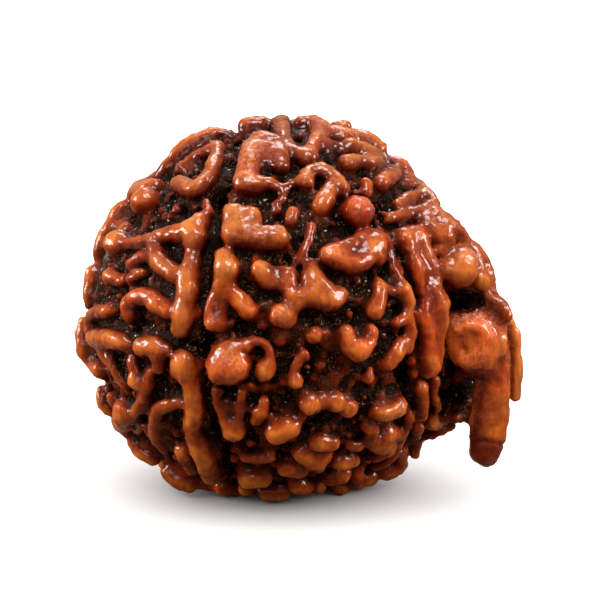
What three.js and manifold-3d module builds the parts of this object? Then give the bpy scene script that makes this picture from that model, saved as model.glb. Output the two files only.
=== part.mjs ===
// A rudraksha seed, in millimetres with +Z up, resting on a small flat spot.
// One natural piece: a five-lobed ovoid body, furrows from pole to pole, a raised
// net of rounded ridges, and a trunk-like outgrowth that hooks down on its right.
// The body is a distance field, the ridges are capsules chained along hand-placed
// strokes, and the zero surface of it all is the skin.
import * as THREE from "three";
import { MarchingCubes } from "three/addons/objects/MarchingCubes.js";
import { SimplifyModifier } from "three/addons/modifiers/SimplifyModifier.js";
import { mergeVertices } from "three/addons/utils/BufferGeometryUtils.js";
import Module from "manifold-3d";

const { degToRad, radToDeg, lerp, clamp } = THREE.MathUtils;

// Driving dimensions of the body, mm. The floor is the surface between the ridges.
const floorHalf = { x: 10.75, y: 10.8, z: 10.6 };
const ridgeHeight = 1.9;
const ridgeBaseHeight = 0.75;
const ridgeHeightPerRadius = 1.35;
const ridgePlump = 0.1;
const ridgeFootShare = 1.3;
const ridgeFootWiden = 0.25;
const ridgeFootSink = 0.35;
const ridgeRootBlend = 0.2;
const ridgeBlend = 0.42;
const lowRidgeShare = 0.55;
const trunkRidgeShare = 0.5;
const trunkLumpShare = 0.8;
const footBlend = 0.3;
const furrowDepth = 1.0;
const furrowHalfWidth = 0.42;
const lobeSwell = 0.3;
const flatSpotDepth = 0.55;

// How finely the skin is traced, and how many triangles it keeps.
const gridCells = 132;
const gridHalfExtent = 14.9;
const gridCentre = new THREE.Vector3(1.6, 0, 0);
const mostPolygons = 300000;
const keptTriangles = 11100;
const pelletRadius = 0.16;

// Furrows from pole to pole: the azimuth at the equator, and how far they drift
// towards the upper and the lower pole, degrees. Azimuth 0 faces the front.
const furrows = [
  { azimuth: -20.5, upper: -10, lower: 0 },
  { azimuth: 48, upper: 22, lower: 28 },
  { azimuth: 118, upper: 6, lower: 4 },
  { azimuth: 190, upper: -8, lower: 6 },
  { azimuth: 268, upper: 5, lower: -5 },
];

// Where the body departs from an ellipsoid: the place and spread in degrees, the
// height in mm.
const swellings = [
  { azimuth: 98, latitude: -36, spread: 27, height: 1.25 },
  { azimuth: -100, latitude: 38, spread: 34, height: -0.9 },
  { azimuth: -75, latitude: -42, spread: 28, height: 0.08 },
  { azimuth: 40, latitude: 52, spread: 26, height: 0.1 },
  { azimuth: 48, latitude: -40, spread: 24, height: -0.25 },
];

// The photograph looks 14 degrees down on the seed, at 16 pixels to the millimetre.
// Strokes are read there as [x pixel, y pixel, half width in pixels].
const pixelsPerMm = 16;
const bodyCentrePixel = { x: 272, y: 308 };
const viewElevation = degToRad(14);

const leftLobe = {
  topArc: [[178, 151, 6], [190, 143, 7], [205, 136, 7], [216, 133, 6], [227, 134, 5]],
  hook: [[218, 150, 6], [215, 165, 7], [209, 179, 8], [197, 190, 9], [180, 185, 8]],
  hookArm: [[217, 149, 6], [206, 154, 6], [194, 159, 6], [185, 167, 6]],
  behindHook: [[161, 177, 5], [167, 165, 6], [174, 157, 5]],
  blobCrest: [[132, 194, 5], [139, 186, 5], [150, 181, 5], [159, 177, 4]],
  bigBlob: [[141, 194, 11], [149, 191, 12], [157, 187, 7]],
  bigBlobFoot: [[146, 202, 14]],
  upperEdge: [[111, 221, 5], [115, 213, 6], [121, 207, 6], [129, 206, 4]],
  brownBlock: [[110, 230, 8], [118, 227, 8], [127, 229, 6]],
  longDiagonal: [[118, 244, 13], [128, 244, 5], [145, 242, 6], [160, 238, 7], [176, 234, 8],
    [190, 232, 11], [201, 223, 9]],
  diagonalBulge: [[197, 238, 11], [195, 251, 6]],
  furrowNeck: [[207, 203, 3], [210, 213, 4]],
  secondEdge: [[103, 235, 6], [99, 250, 6], [99, 262, 4]],
  thirdEdge: [[91, 272, 6], [89, 284, 6], [88, 296, 6], [88, 304, 4]],
  smallBall: [[112, 277, 8], [122, 281, 5]],
  smallBead: [[132, 279, 5], [143, 273, 4]],
  smallArch: [[133, 264, 5], [142, 258, 5], [153, 258, 5], [161, 264, 6]],
  slopingPlate: [[156, 252, 7], [163, 265, 9], [176, 274, 9]],
  mainVertical: [[194, 262, 8], [190, 278, 10], [188, 298, 10], [185, 316, 10], [182, 328, 9]],
  bigArch: [[131, 314, 7], [130, 306, 8], [138, 298, 8], [149, 297, 8], [159, 304, 9],
    [169, 310, 8]],
  leftArch: [[107, 311, 6], [97, 312, 6], [91, 320, 6], [91, 330, 7]],
  leftBar: [[96, 338, 9], [108, 339, 9], [122, 341, 8], [129, 345, 5]],
  fourthEdge: [[83, 322, 4], [80, 335, 5], [82, 348, 6]],
  bean: [[144, 346, 9], [157, 346, 9], [168, 350, 6]],
  beanLink: [[160, 358, 6], [160, 368, 5]],
  fifthEdge: [[83, 355, 5], [92, 362, 7], [100, 369, 8]],
  edgeSlope: [[104, 352, 6], [112, 363, 5], [120, 377, 4], [126, 385, 3]],
  secondBall: [[134, 363, 5], [137, 372, 6], [138, 379, 9]],
  thinStrand: [[152, 372, 4], [150, 385, 4], [146, 394, 4]],
  longTop: [[184, 361, 11]],
  longTopFoot: [[177, 371, 5], [184, 366, 8]],
  longRight: [[187, 370, 9], [192, 386, 8], [195, 402, 8], [195, 417, 9], [194, 430, 8],
    [200, 446, 10], [207, 462, 10], [212, 477, 8]],
  squareArch: [[181, 402, 5], [168, 405, 6], [159, 410, 6], [156, 424, 6], [157, 438, 6],
    [163, 447, 5]],
  thirdBall: [[125, 411, 11], [124, 423, 10]],
  thirdBallBranch: [[131, 417, 6], [139, 408, 5], [146, 398, 4]],
  sixthEdge: [[100, 391, 4], [101, 402, 5], [108, 411, 4]],
  sixthInner: [[112, 397, 5], [117, 407, 4]],
  seventhEdge: [[115, 421, 3], [120, 428, 5], [127, 434, 4]],
  eighthEdge: [[133, 445, 5], [140, 453, 6], [152, 460, 6]],
  smallRing: [[137, 432, 3], [145, 427, 3], [150, 435, 3]],
  fourthBall: [[184, 450, 7], [186, 458, 6], [192, 470, 5]],
  bottomLeft: [[168, 473, 7], [178, 481, 8], [188, 485, 7]],
  bottomBead: [[202, 483, 6], [212, 484, 7]],
};

const leftLobeLow = {
  hookDish: [[196, 172, 9]],
  squareInner: [[170, 420, 5], [171, 438, 6]],
};

const centreLobe = {
  poleLeft: [[248, 126, 9], [261, 125, 9]],
  poleRight: [[281, 122, 8], [283, 136, 7], [287, 148, 6]],
  topHook: [[302, 123, 7], [314, 123, 8], [320, 136, 9], [313, 149, 8], [307, 159, 8]],
  blockLeft: [[262, 143, 10], [255, 152, 13], [250, 168, 12], [247, 182, 10]],
  blockRight: [[258, 143, 9], [272, 144, 9], [280, 154, 9], [281, 167, 7]],
  blockMiddle: [[267, 153, 9], [266, 164, 7]],
  blockFoot: [[244, 186, 9], [257, 186, 9], [268, 185, 7], [276, 188, 5]],
  joiningPlateau: [[286, 147, 6], [296, 154, 7], [307, 159, 7]],
  rightPlate: [[322, 131, 9], [338, 137, 11], [353, 142, 12], [368, 148, 10], [380, 155, 6]],
  rightPlateMiddle: [[351, 149, 10], [362, 153, 11], [374, 156, 8]],
  rightPlateFoot: [[347, 164, 8], [358, 163, 7], [368, 164, 9], [379, 162, 8]],
  plateCrest: [[336, 126, 5], [346, 125, 5]],
  plateCrestEnd: [[359, 133, 4], [367, 135, 4]],
  plateEdge: [[374, 140, 5], [381, 147, 5]],
  plateFilling: [[322, 149, 4], [334, 147, 5], [342, 151, 4]],
  crookTop: [[305, 183, 8], [310, 174, 6], [321, 172, 8], [333, 179, 8], [341, 190, 8]],
  crookLeg: [[330, 188, 6], [326, 200, 9], [320, 208, 8]],
  redBead: [[357, 213, 16]],
  smallPeak: [[365, 185, 6], [367, 196, 3]],
  crumbLeft: [[276, 206, 4], [277, 211, 4]],
  crumbRight: [[293, 214, 5], [291, 222, 5]],
  crumbStrand: [[291, 185, 3], [284, 192, 3], [283, 200, 3]],
  saddleLeft: [[233, 214, 9], [233, 234, 10]],
  saddleTop: [[238, 216, 8], [252, 217, 9], [253, 232, 8]],
  saddleMiddle: [[243, 226, 10]],
  saddleFoot: [[236, 237, 10], [258, 239, 11], [277, 239, 11]],
  slimStrand: [[311, 228, 4], [309, 240, 4], [304, 252, 4], [301, 260, 3]],
  pear: [[226, 258, 9], [228, 270, 12], [224, 285, 8]],
  pearLeft: [[223, 287, 7], [217, 298, 6], [213, 311, 6], [214, 323, 7]],
  pearStrand: [[224, 300, 4], [223, 316, 4], [223, 327, 3]],
  pearRight: [[231, 291, 7], [241, 301, 8], [250, 311, 8]],
  commaHead: [[261, 271, 9], [267, 280, 8], [278, 283, 6]],
  commaPlate: [[275, 272, 4], [288, 273, 6]],
  commaTail: [[287, 279, 7], [290, 292, 8], [296, 303, 8]],
  twinBall: [[280, 315, 10], [287, 319, 8]],
  twinBallLink: [[290, 308, 6], [286, 313, 7]],
  wedge: [[312, 263, 4], [311, 276, 8], [312, 290, 10]],
  wedgeMiddle: [[317, 283, 9], [327, 293, 9]],
  wedgeFoot: [[305, 297, 8], [318, 300, 9], [332, 302, 9], [341, 294, 7]],
  redBall: [[314, 335, 7]],
  bigHeadLeft: [[226, 365, 18]],
  bigHeadRight: [[234, 364, 17]],
  bigHeadTop: [[227, 350, 9], [236, 346, 7], [246, 344, 4]],
  ringHandle: [[248, 345, 3], [255, 341, 3], [263, 342, 3], [269, 349, 3], [270, 357, 3]],
  ringDrop: [[268, 364, 6]],
  ringDropEnd: [[266, 371, 8]],
  middleStrand: [[303, 353, 3], [298, 361, 4], [294, 371, 4], [295, 380, 7]],
  loopLeft: [[216, 390, 3], [219, 404, 4], [226, 418, 5], [235, 430, 10]],
  loopRight: [[243, 392, 3], [241, 407, 3], [239, 420, 4]],
  lowerStrand: [[264, 401, 5], [261, 411, 6], [257, 419, 4]],
  lowerBean: [[277, 431, 11], [289, 426, 11]],
  caterpillar: [[310, 403, 10], [318, 401, 7], [324, 400, 8], [329, 400, 7], [335, 401, 10],
    [341, 404, 7], [348, 407, 9]],
  caterpillarLink: [[303, 414, 3], [299, 420, 3]],
  lipLower: [[328, 255, 9], [341, 261, 9], [354, 264, 9], [366, 257, 9], [373, 245, 9]],
  lipRight: [[377, 243, 8], [378, 258, 8]],
  lipRim: [[360, 240, 4], [369, 235, 5], [380, 236, 5], [387, 246, 5], [390, 259, 4]],
  lipTop: [[334, 251, 6], [346, 248, 6], [359, 242, 7]],
  lipMiddle: [[366, 248, 8]],
  bridgeLeft: [[379, 284, 5], [378, 296, 7], [374, 310, 8]],
  bridge: [[384, 289, 4], [393, 291, 4], [401, 287, 6], [397, 277, 4], [392, 269, 3]],
  bridgeRight: [[403, 291, 7], [407, 303, 7], [406, 314, 5]],
  furrowBorder: [[397, 322, 5], [405, 320, 5], [409, 332, 6], [406, 348, 6]],
  heart: [[346, 333, 8], [348, 343, 9], [357, 349, 12], [367, 342, 8], [370, 332, 7]],
  smallDiagonal: [[400, 344, 6], [394, 354, 8], [388, 362, 7]],
  drop: [[369, 369, 2], [368, 377, 5]],
  rightBean: [[377, 411, 9], [388, 409, 10], [396, 406, 10]],
  webRim: [[409, 417, 5], [405, 430, 4], [399, 441, 4], [395, 452, 4], [386, 461, 5],
    [376, 467, 4]],
  webInner: [[366, 425, 5], [372, 428, 7], [370, 437, 6], [380, 445, 9]],
  webPlate: [[398, 434, 6], [387, 434, 9], [386, 449, 9], [376, 457, 5]],
  webBead: [[350, 445, 4], [358, 445, 5]],
  lowerBar: [[318, 441, 8], [332, 442, 7]],
  lowerBarFoot: [[301, 452, 8], [313, 459, 10], [319, 466, 6]],
  lowerBarSide: [[324, 453, 7], [320, 459, 7]],
  lowerLeftBar: [[245, 457, 4], [258, 457, 5], [270, 455, 5]],
  lowerLeftLump: [[249, 477, 11], [263, 477, 9]],
  lowerLeftFoot: [[246, 489, 7]],
  bottomMiddle: [[268, 491, 9], [280, 491, 10]],
  bottomBeads: [[297, 485, 8], [306, 486, 8]],
  bottomBead: [[318, 487, 7]],
  bottomRight: [[332, 478, 8], [341, 474, 9]],
  bottomRightFoot: [[340, 488, 8]],
  bottomEnd: [[357, 473, 6], [357, 482, 8]],
  bottomEndBead: [[371, 480, 6]],
  bottomLeftBar: [[222, 486, 8], [234, 489, 7]],
  nestedLump: [[288, 466, 9], [300, 470, 7]],
  hiddenLump: [[340, 461, 8], [352, 460, 7]],
};

const centreLobeLow = {
  darkBar: [[322, 380, 4], [334, 375, 5], [343, 371, 4]],
  hollowFloor: [[318, 221, 4], [324, 219, 4]],
  loopWeb: [[230, 402, 8]],
  twinBallFoot: [[282, 336, 7]],
  middleBar: [[320, 338, 6], [333, 338, 6]],
  diagonalFoot: [[386, 378, 5]],
};

const rightLobe = {
  upperBar: [[381, 184, 8], [390, 177, 8], [397, 170, 6]],
  upperArc: [[393, 160, 4], [402, 163, 5], [408, 173, 6], [407, 184, 5]],
  firstRung: [[397, 205, 5], [409, 199, 7], [419, 197, 7]],
  secondRung: [[391, 218, 5], [404, 216, 6], [420, 211, 6]],
  rungEnd: [[417, 183, 5], [426, 193, 6], [434, 203, 5]],
  slopeOuter: [[430, 206, 6], [438, 216, 7], [447, 226, 8], [458, 233, 6]],
  slopeInner: [[425, 222, 7], [434, 232, 8], [445, 239, 8], [441, 250, 6]],
  slopeEdge: [[446, 219, 4], [456, 226, 4]],
  ribTop: [[404, 236, 8], [416, 235, 9]],
  ribLeft: [[405, 242, 7], [411, 257, 7], [417, 274, 7], [420, 289, 5]],
  ribRight: [[419, 241, 8], [425, 257, 8], [430, 272, 8], [433, 289, 9], [437, 303, 9]],
  ribFilling: [[412, 243, 6], [417, 257, 5], [422, 274, 5], [427, 292, 5], [430, 310, 5],
    [431, 330, 4], [431, 348, 4]],
  lowerRibLeft: [[424, 300, 5], [424, 318, 6], [427, 338, 8], [428, 358, 9], [430, 366, 10]],
  lowerRibRight: [[438, 306, 9], [439, 318, 9], [437, 333, 7], [436, 348, 7], [435, 361, 6]],
  knob: [[461, 261, 14]],
  knobLow: [[461, 273, 14]],
  knobLeft: [[448, 269, 11]],
  knobRight: [[474, 253, 4], [478, 266, 4], [482, 280, 5]],
  shoulderEdge: [[463, 240, 5], [474, 249, 6], [484, 263, 6], [490, 279, 5], [492, 291, 4]],
  shoulderLump: [[483, 283, 6]],
  shoulderFoot: [[488, 297, 5], [499, 304, 6], [506, 315, 6]],
  tanStrand: [[435, 380, 4], [434, 393, 3], [437, 408, 4]],
  furrowVertical: [[421, 388, 6], [422, 402, 6], [421, 414, 6]],
  furrowVerticalFoot: [[418, 428, 5], [417, 436, 4]],
  lowerRimOuter: [[446, 418, 4], [458, 418, 4]],
  lowerRim: [[432, 422, 8], [444, 424, 7], [450, 427, 4]],
  lowerRimFoot: [[428, 436, 4], [442, 432, 4]],
  lowerStub: [[402, 452, 6], [402, 465, 5]],
  lowerStubSide: [[417, 446, 5], [416, 455, 4]],
  darkFoot: [[388, 472, 9], [397, 470, 6]],
};

const trunkRidges = {
  lumpLip: [[491, 333, 3], [491, 350, 3], [484, 365, 4], [468, 371, 4], [450, 379, 4],
    [439, 386, 3]],
  topFold: [[486, 306, 5], [497, 318, 5], [501, 332, 4], [502, 348, 3]],
};

const trunkLump = {
  ring: [[456, 331, 7], [467, 326, 7], [479, 329, 7], [484, 341, 7], [480, 354, 8],
    [469, 360, 9], [458, 355, 8], [453, 343, 7], [456, 331, 7]],
  core: [[466, 338, 5], [471, 346, 5]],
};

// The trunk's core: pixel place and half width, and how far it stands nearer to the
// front than the body's middle, mm.
const shoulderCore = [
  { x: 424, y: 246, half: 32, nearer: 2.0 },
  { x: 448, y: 285, half: 32, nearer: 2.0 },
  { x: 467, y: 318, half: 29, nearer: 2.1 },
  { x: 480, y: 345, half: 23, nearer: 2.3 },
];
const trunkCore = [
  { x: 485, y: 330, half: 20, nearer: 2.3 },
  { x: 490, y: 358, half: 19, nearer: 2.5 },
  { x: 492, y: 388, half: 18, nearer: 2.6 },
  { x: 491, y: 415, half: 18, nearer: 2.6 },
  { x: 488, y: 437, half: 17.5, nearer: 2.5 },
  { x: 485, y: 449, half: 16.5, nearer: 2.4 },
];
// A recessed wall that joins the trunk to the body behind its upper half.
const webCore = [
  { x: 447, y: 360, half: 18, nearer: 0.4 },
  { x: 461, y: 386, half: 15, nearer: 0.3 },
  { x: 464, y: 401, half: 12, nearer: 0.3 },
];
// Strands that lie along the trunk with a sharp groove between.
const backStrand = [
  { x: 507, y: 318, half: 5, nearer: 1.9 },
  { x: 514, y: 336, half: 6.5, nearer: 1.7 },
  { x: 516, y: 356, half: 6.5, nearer: 1.7 },
  { x: 516.5, y: 376, half: 6.5, nearer: 1.7 },
  { x: 515, y: 395, half: 6.5, nearer: 1.7 },
];
const frontStrand = [
  { x: 478, y: 374, half: 3, nearer: 3.4 },
  { x: 476, y: 396, half: 3.5, nearer: 3.1 },
  { x: 472.5, y: 420, half: 3.5, nearer: 2.9 },
  { x: 472, y: 440, half: 3.5, nearer: 2.8 },
];
const trunkBlend = 0.9;
const strandBlend = 0.15;

// Dips in the near floor: pixel place, half width and half height, and depth in mm.
const dips = [
  { x: 463, y: 301, wide: 22, high: 9, deep: 1.1 },
  { x: 449, y: 368, wide: 9, high: 9, deep: 0.6 },
];

// A broad low knot at the lower pole, which carries the flat spot.
const footKnot = { x: 0.45, y: 0, z: -9.75, radius: 2.35 };

// The line of sight and the picture's upward direction in the seed's frame.
const sight = new THREE.Vector3(0, Math.cos(viewElevation), -Math.sin(viewElevation));
const pictureUp = new THREE.Vector3(0, Math.sin(viewElevation), Math.cos(viewElevation));
const pictureRight = new THREE.Vector3(1, 0, 0);

// The point that a pixel shows, at a distance along the line of sight.
function pixelPoint(x, y, along) {
  return new THREE.Vector3()
    .addScaledVector(pictureRight, (x - bodyCentrePixel.x) / pixelsPerMm)
    .addScaledVector(pictureUp, (bodyCentrePixel.y - y) / pixelsPerMm)
    .addScaledVector(sight, along);
}

function directionOf(azimuth, latitude) {
  const a = degToRad(azimuth);
  const l = degToRad(latitude);
  return new THREE.Vector3(
    Math.cos(l) * Math.sin(a),
    -Math.cos(l) * Math.cos(a),
    Math.sin(l),
  );
}

const latitudeOf = (p) => radToDeg(Math.asin(clamp(p.z / p.length(), -1, 1)));
const azimuthOf = (p) => radToDeg(Math.atan2(p.x, -p.y));

// Turns an angle by whole circles until it is the nearest one to a reference.
function nearestTurn(angle, reference) {
  return angle - 360 * Math.round((angle - reference) / 360);
}

function smoothMin(a, b, blend) {
  const h = Math.max(blend - Math.abs(a - b), 0) / blend;
  return Math.min(a, b) - (h * h * blend) / 4;
}

for (const s of swellings) {
  s.direction = directionOf(s.azimuth, s.latitude);
  s.sharpness = 1 / (1 - Math.cos(degToRad(s.spread)));
}

function furrowAzimuth(furrow, latitude) {
  const sine = Math.sin(degToRad(latitude));
  return furrow.azimuth + (sine > 0 ? furrow.upper : furrow.lower) * sine * sine;
}

// The floor's radius in a direction, without the furrows.
function smoothRadius(direction) {
  const { x, y, z } = direction;
  let radius =
    1 / Math.hypot(x / floorHalf.x, y / floorHalf.y, z / floorHalf.z);
  for (const s of swellings) {
    radius += s.height * Math.exp(-s.sharpness * (1 - direction.dot(s.direction)));
  }
  return radius;
}

// How far a point is from the middle of the nearest furrow, along the floor.
function furrowDistance(p, distance) {
  const latitude = latitudeOf(p);
  const azimuth = azimuthOf(p);
  const ring = distance * Math.cos(degToRad(latitude));
  let nearest = Infinity;
  for (const furrow of furrows) {
    const middle = furrowAzimuth(furrow, latitude);
    const across = degToRad(Math.abs(nearestTurn(azimuth, middle) - middle)) * ring;
    nearest = Math.min(nearest, across);
  }
  return nearest;
}

// How far the furrows and the swell of the lobes change the floor's radius.
function furrowChange(p, distance) {
  const nearest = furrowDistance(p, distance);
  const groove = Math.exp(-((nearest / furrowHalfWidth) ** 2));
  return lobeSwell * (1 - Math.exp(-nearest / 2)) - furrowDepth * groove;
}

// Distance to a chain of round beads joined by cones.
function chainDistance(p, beads) {
  let best = Infinity;
  for (let i = 0; i < beads.length; i++) {
    const a = beads[i];
    const b = beads[Math.min(i + 1, beads.length - 1)];
    const abx = b.x - a.x;
    const aby = b.y - a.y;
    const abz = b.z - a.z;
    const apx = p.x - a.x;
    const apy = p.y - a.y;
    const apz = p.z - a.z;
    const length2 = abx * abx + aby * aby + abz * abz;
    const t = length2 > 0 ? clamp((apx * abx + apy * aby + apz * abz) / length2, 0, 1) : 0;
    const away = Math.hypot(apx - t * abx, apy - t * aby, apz - t * abz);
    best = Math.min(best, away - lerp(a.radius, b.radius, t));
  }
  return best;
}

const beadOf = (point, radius) => ({ x: point.x, y: point.y, z: point.z, radius });

// A bead of the trunk's core, moved along the line of sight until it stands the
// stated distance nearer to the front.
function coreBead(step) {
  const flat = pixelPoint(step.x, step.y, 0);
  const along = (-step.nearer - flat.y) / sight.y;
  return beadOf(pixelPoint(step.x, step.y, along), step.half / pixelsPerMm);
}

const trunkChains = [shoulderCore, trunkCore, webCore].map((core) => core.map(coreBead));
const strandChains = [backStrand, frontStrand].map((core) => core.map(coreBead));

const trunkDistance = (p) =>
  trunkChains
    .map((chain) => chainDistance(p, chain))
    .reduce((a, b) => smoothMin(a, b, trunkBlend));

// The surface that the ridges stand on, without the furrows.
function smoothFloor(p) {
  const distance = p.length();
  const direction = p.clone().divideScalar(Math.max(distance, 1e-6));
  const body = distance - smoothRadius(direction);
  return smoothMin(body, trunkDistance(p), trunkBlend);
}

// How far the dips lower the near floor at a point.
function dipDepth(p) {
  if (p.dot(sight) >= 0) return 0;
  const x = bodyCentrePixel.x + p.dot(pictureRight) * pixelsPerMm;
  const y = bodyCentrePixel.y - p.dot(pictureUp) * pixelsPerMm;
  return dips.reduce(
    (depth, dip) =>
      depth +
      dip.deep * Math.exp(-(((x - dip.x) / dip.wide) ** 2) - ((y - dip.y) / dip.high) ** 2),
    0,
  );
}

// The floor with its furrows, dips, foot and the trunk's strands.
function carvedFloor(p) {
  const distance = Math.max(p.length(), 1e-6);
  const direction = p.clone().divideScalar(distance);
  const body = distance - smoothRadius(direction) - furrowChange(p, distance);
  const knot = p.distanceTo(footKnot) - footKnot.radius;
  const seat = smoothMin(body, knot, footBlend);
  const floor = smoothMin(seat, trunkDistance(p), trunkBlend) + dipDepth(p);
  return strandChains.reduce(
    (field, chain) => smoothMin(field, chainDistance(p, chain), strandBlend),
    floor,
  );
}

// The floor's outward normal, by differences over a short step.
function floorNormal(p) {
  const step = 0.05;
  const at = (dx, dy, dz) => smoothFloor(new THREE.Vector3(p.x + dx, p.y + dy, p.z + dz));
  return new THREE.Vector3(
    at(step, 0, 0) - at(-step, 0, 0),
    at(0, step, 0) - at(0, -step, 0),
    at(0, 0, step) - at(0, 0, -step),
  ).normalize();
}

// Where the line of sight through a pixel first comes within a lift of the floor,
// or passes nearest to it.
function castPixel(x, y, lift) {
  const step = 0.12;
  const reach = 16;
  let nearest = Infinity;
  let nearestAlong = 0;
  let before = Infinity;
  for (let along = -reach; along < reach; along += step) {
    const d = smoothFloor(pixelPoint(x, y, along)) - lift;
    if (d <= 0) return pixelPoint(x, y, along - (step * -d) / (before - d));
    if (d < nearest) {
      nearest = d;
      nearestAlong = along;
    }
    before = d;
  }
  return pixelPoint(x, y, nearestAlong);
}

// How far a ridge of a radius stands over the floor. Low ridges have a smaller share.
function topHeight(radius, share) {
  return share * Math.min(ridgeHeight, ridgeBaseHeight + ridgeHeightPerRadius * radius);
}

// A ridge from its crest points: a chain along the crest and a wider one, sunk in
// the floor, at its foot, each through a smooth curve. A ball stands on its own width.
function makeRidge(points, share) {
  const feet = points.map(({ crest, normal, radius }) => {
    const lift = Math.max(topHeight(radius, share) - radius, 0);
    return crest.clone().addScaledVector(normal, -lift - ridgeFootSink);
  });
  const plumpPoints = points.map(({ crest, normal }) =>
    crest.clone().addScaledVector(normal, -ridgePlump),
  );
  const radii = points.map((point) => point.radius + ridgePlump);
  const footRadii = radii.map((radius) =>
    points.length > 1 ? radius * ridgeFootShare + ridgeFootWiden : radius,
  );
  return {
    line: smoothChain(points.map((point) => point.crest), points.map((point) => point.radius)),
    crest: smoothChain(plumpPoints, radii),
    foot: smoothChain(feet, footRadii),
  };
}

// Beads along a smooth curve, two to each step between the points.
function smoothChain(points, radii) {
  if (points.length === 1) return [beadOf(points[0], radii[0])];
  const curve = new THREE.CatmullRomCurve3(points, false, "centripetal");
  const spans = (points.length - 1) * 2;
  const beads = [];
  for (let i = 0; i <= spans; i++) {
    const place = i / 2;
    const from = Math.min(Math.floor(place), points.length - 2);
    beads.push(beadOf(curve.getPoint(i / spans), lerp(radii[from], radii[from + 1], place - from)));
  }
  return beads;
}

// A drawn stroke's crest points in the seed's frame.
function drawnPoints(stroke, share) {
  return stroke.map(([x, y, half]) => {
    const radius = half / pixelsPerMm;
    const crest = castPixel(x, y, Math.max(topHeight(radius, share) - radius, 0));
    return { crest, normal: floorNormal(crest), radius };
  });
}

const drawAll = (strokes, share) =>
  Object.values(strokes).map((stroke) => drawnPoints(stroke, share));

const leftPoints = drawAll(leftLobe, 1);
const centrePoints = drawAll(centreLobe, 1);
const ridges = [
  ...[...leftPoints, ...centrePoints, ...drawAll(rightLobe, 1)].map((p) => makeRidge(p, 1)),
  ...drawAll(leftLobeLow, lowRidgeShare).map((p) => makeRidge(p, lowRidgeShare)),
  ...drawAll(centreLobeLow, lowRidgeShare).map((p) => makeRidge(p, lowRidgeShare)),
  ...drawAll(trunkRidges, trunkRidgeShare).map((p) => makeRidge(p, trunkRidgeShare)),
  ...drawAll(trunkLump, trunkLumpShare).map((p) => makeRidge(p, trunkLumpShare)),
];

// The far side repeats the drawn ridges, turned about the body's middle. A pass
// gives the three turns in degrees, and later passes only fill gaps.
const repeatPasses = [
  { x: 180, y: 12, z: 0 },
  { x: 0, y: 180, z: 100 },
  { x: -82, y: 20, z: 0 },
  { x: 84, y: 160, z: 0 },
  { x: 20, y: 95, z: 178 },
  { x: -35, y: 0, z: -95 },
  { x: 140, y: -60, z: 30 },
  { x: 100, y: 60, z: -120 },
  { x: -110, y: -75, z: 60 },
  { x: 15, y: 30, z: 140 },
];
const seenFromFront = 0.06;
const facingFront = 0.35;
const ridgeSpacing = 0.42;
const trunkRootClearance = 0.9;
const furrowClearance = 0.35;

const repeatable = [...leftPoints, ...centrePoints].filter((points) =>
  points.every((point) => point.normal.dot(sight) < -facingFront),
);

// Whether a repeated crest point lands in the open: out of the drawn side, the
// trunk, the furrows and the ridges that already stand.
function landsFree({ crest, normal, radius }, standing) {
  const distance = crest.length();
  return (
    normal.dot(sight) > -seenFromFront &&
    trunkDistance(crest) > trunkRootClearance &&
    furrowDistance(crest, distance) > radius + furrowClearance &&
    standing.every((ridge) => chainDistance(crest, ridge.line) > radius + ridgeSpacing)
  );
}

// The drawn ridges under one turn, cut to the runs that land in the open.
function repeatedRidges(pass, standing) {
  const turn = new THREE.Quaternion().setFromEuler(
    new THREE.Euler(degToRad(pass.x), degToRad(pass.y), degToRad(pass.z)),
  );
  const made = [];
  for (const points of repeatable) {
    let run = [];
    for (const { crest, radius } of points) {
      const direction = crest.clone().normalize().applyQuaternion(turn);
      const foot = direction.multiplyScalar(smoothRadius(direction));
      const normal = floorNormal(foot);
      const moved = {
        crest: foot.addScaledVector(normal, topHeight(radius, 1) - radius),
        normal,
        radius,
      };
      if (landsFree(moved, standing)) {
        run.push(moved);
      } else if (run.length) {
        made.push(run);
        run = [];
      }
    }
    if (run.length) made.push(run);
  }
  return made.map((run) => makeRidge(run, 1));
}

for (const pass of repeatPasses) ridges.push(...repeatedRidges(pass, ridges));

// The distance field on a grid. The tracer's own coordinates run from -1 to 1.
const tracer = new MarchingCubes(gridCells, new THREE.Material(), false, false, mostPolygons);
tracer.isolation = 0;
const cell = (2 * gridHalfExtent) / gridCells;
const gridPoint = (i, axis) => gridCentre[axis] - gridHalfExtent + i * cell;
const gridIndex = (i, j, k) => i + gridCells * (j + gridCells * k);

// Calls visit(index, point) for the grid points inside a box.
function eachGridPoint(low, high, visit) {
  const range = (axis) => [
    Math.max(0, Math.ceil((low[axis] - gridPoint(0, axis)) / cell)),
    Math.min(gridCells - 1, Math.floor((high[axis] - gridPoint(0, axis)) / cell)),
  ];
  const [fromX, toX] = range("x");
  const [fromY, toY] = range("y");
  const [fromZ, toZ] = range("z");
  const p = new THREE.Vector3();
  for (let k = fromZ; k <= toZ; k++) {
    for (let j = fromY; j <= toY; j++) {
      for (let i = fromX; i <= toX; i++) {
        p.set(gridPoint(i, "x"), gridPoint(j, "y"), gridPoint(k, "z"));
        visit(gridIndex(i, j, k), p);
      }
    }
  }
}

const wholeGrid = new THREE.Vector3().setScalar(gridHalfExtent);
eachGridPoint(gridCentre.clone().sub(wholeGrid), gridCentre.clone().add(wholeGrid), (at, p) => {
  tracer.field[at] = -carvedFloor(p);
});

for (const ridge of ridges) {
  const beads = [...ridge.crest, ...ridge.foot];
  const box = new THREE.Box3();
  for (const bead of beads) box.expandByPoint(bead);
  box.expandByScalar(Math.max(...beads.map((bead) => bead.radius)) + ridgeBlend);
  eachGridPoint(box.min, box.max, (at, p) => {
    const own = smoothMin(
      chainDistance(p, ridge.crest),
      chainDistance(p, ridge.foot),
      ridgeRootBlend,
    );
    tracer.field[at] = -smoothMin(-tracer.field[at], own, ridgeBlend);
  });
}
tracer.update();

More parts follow.
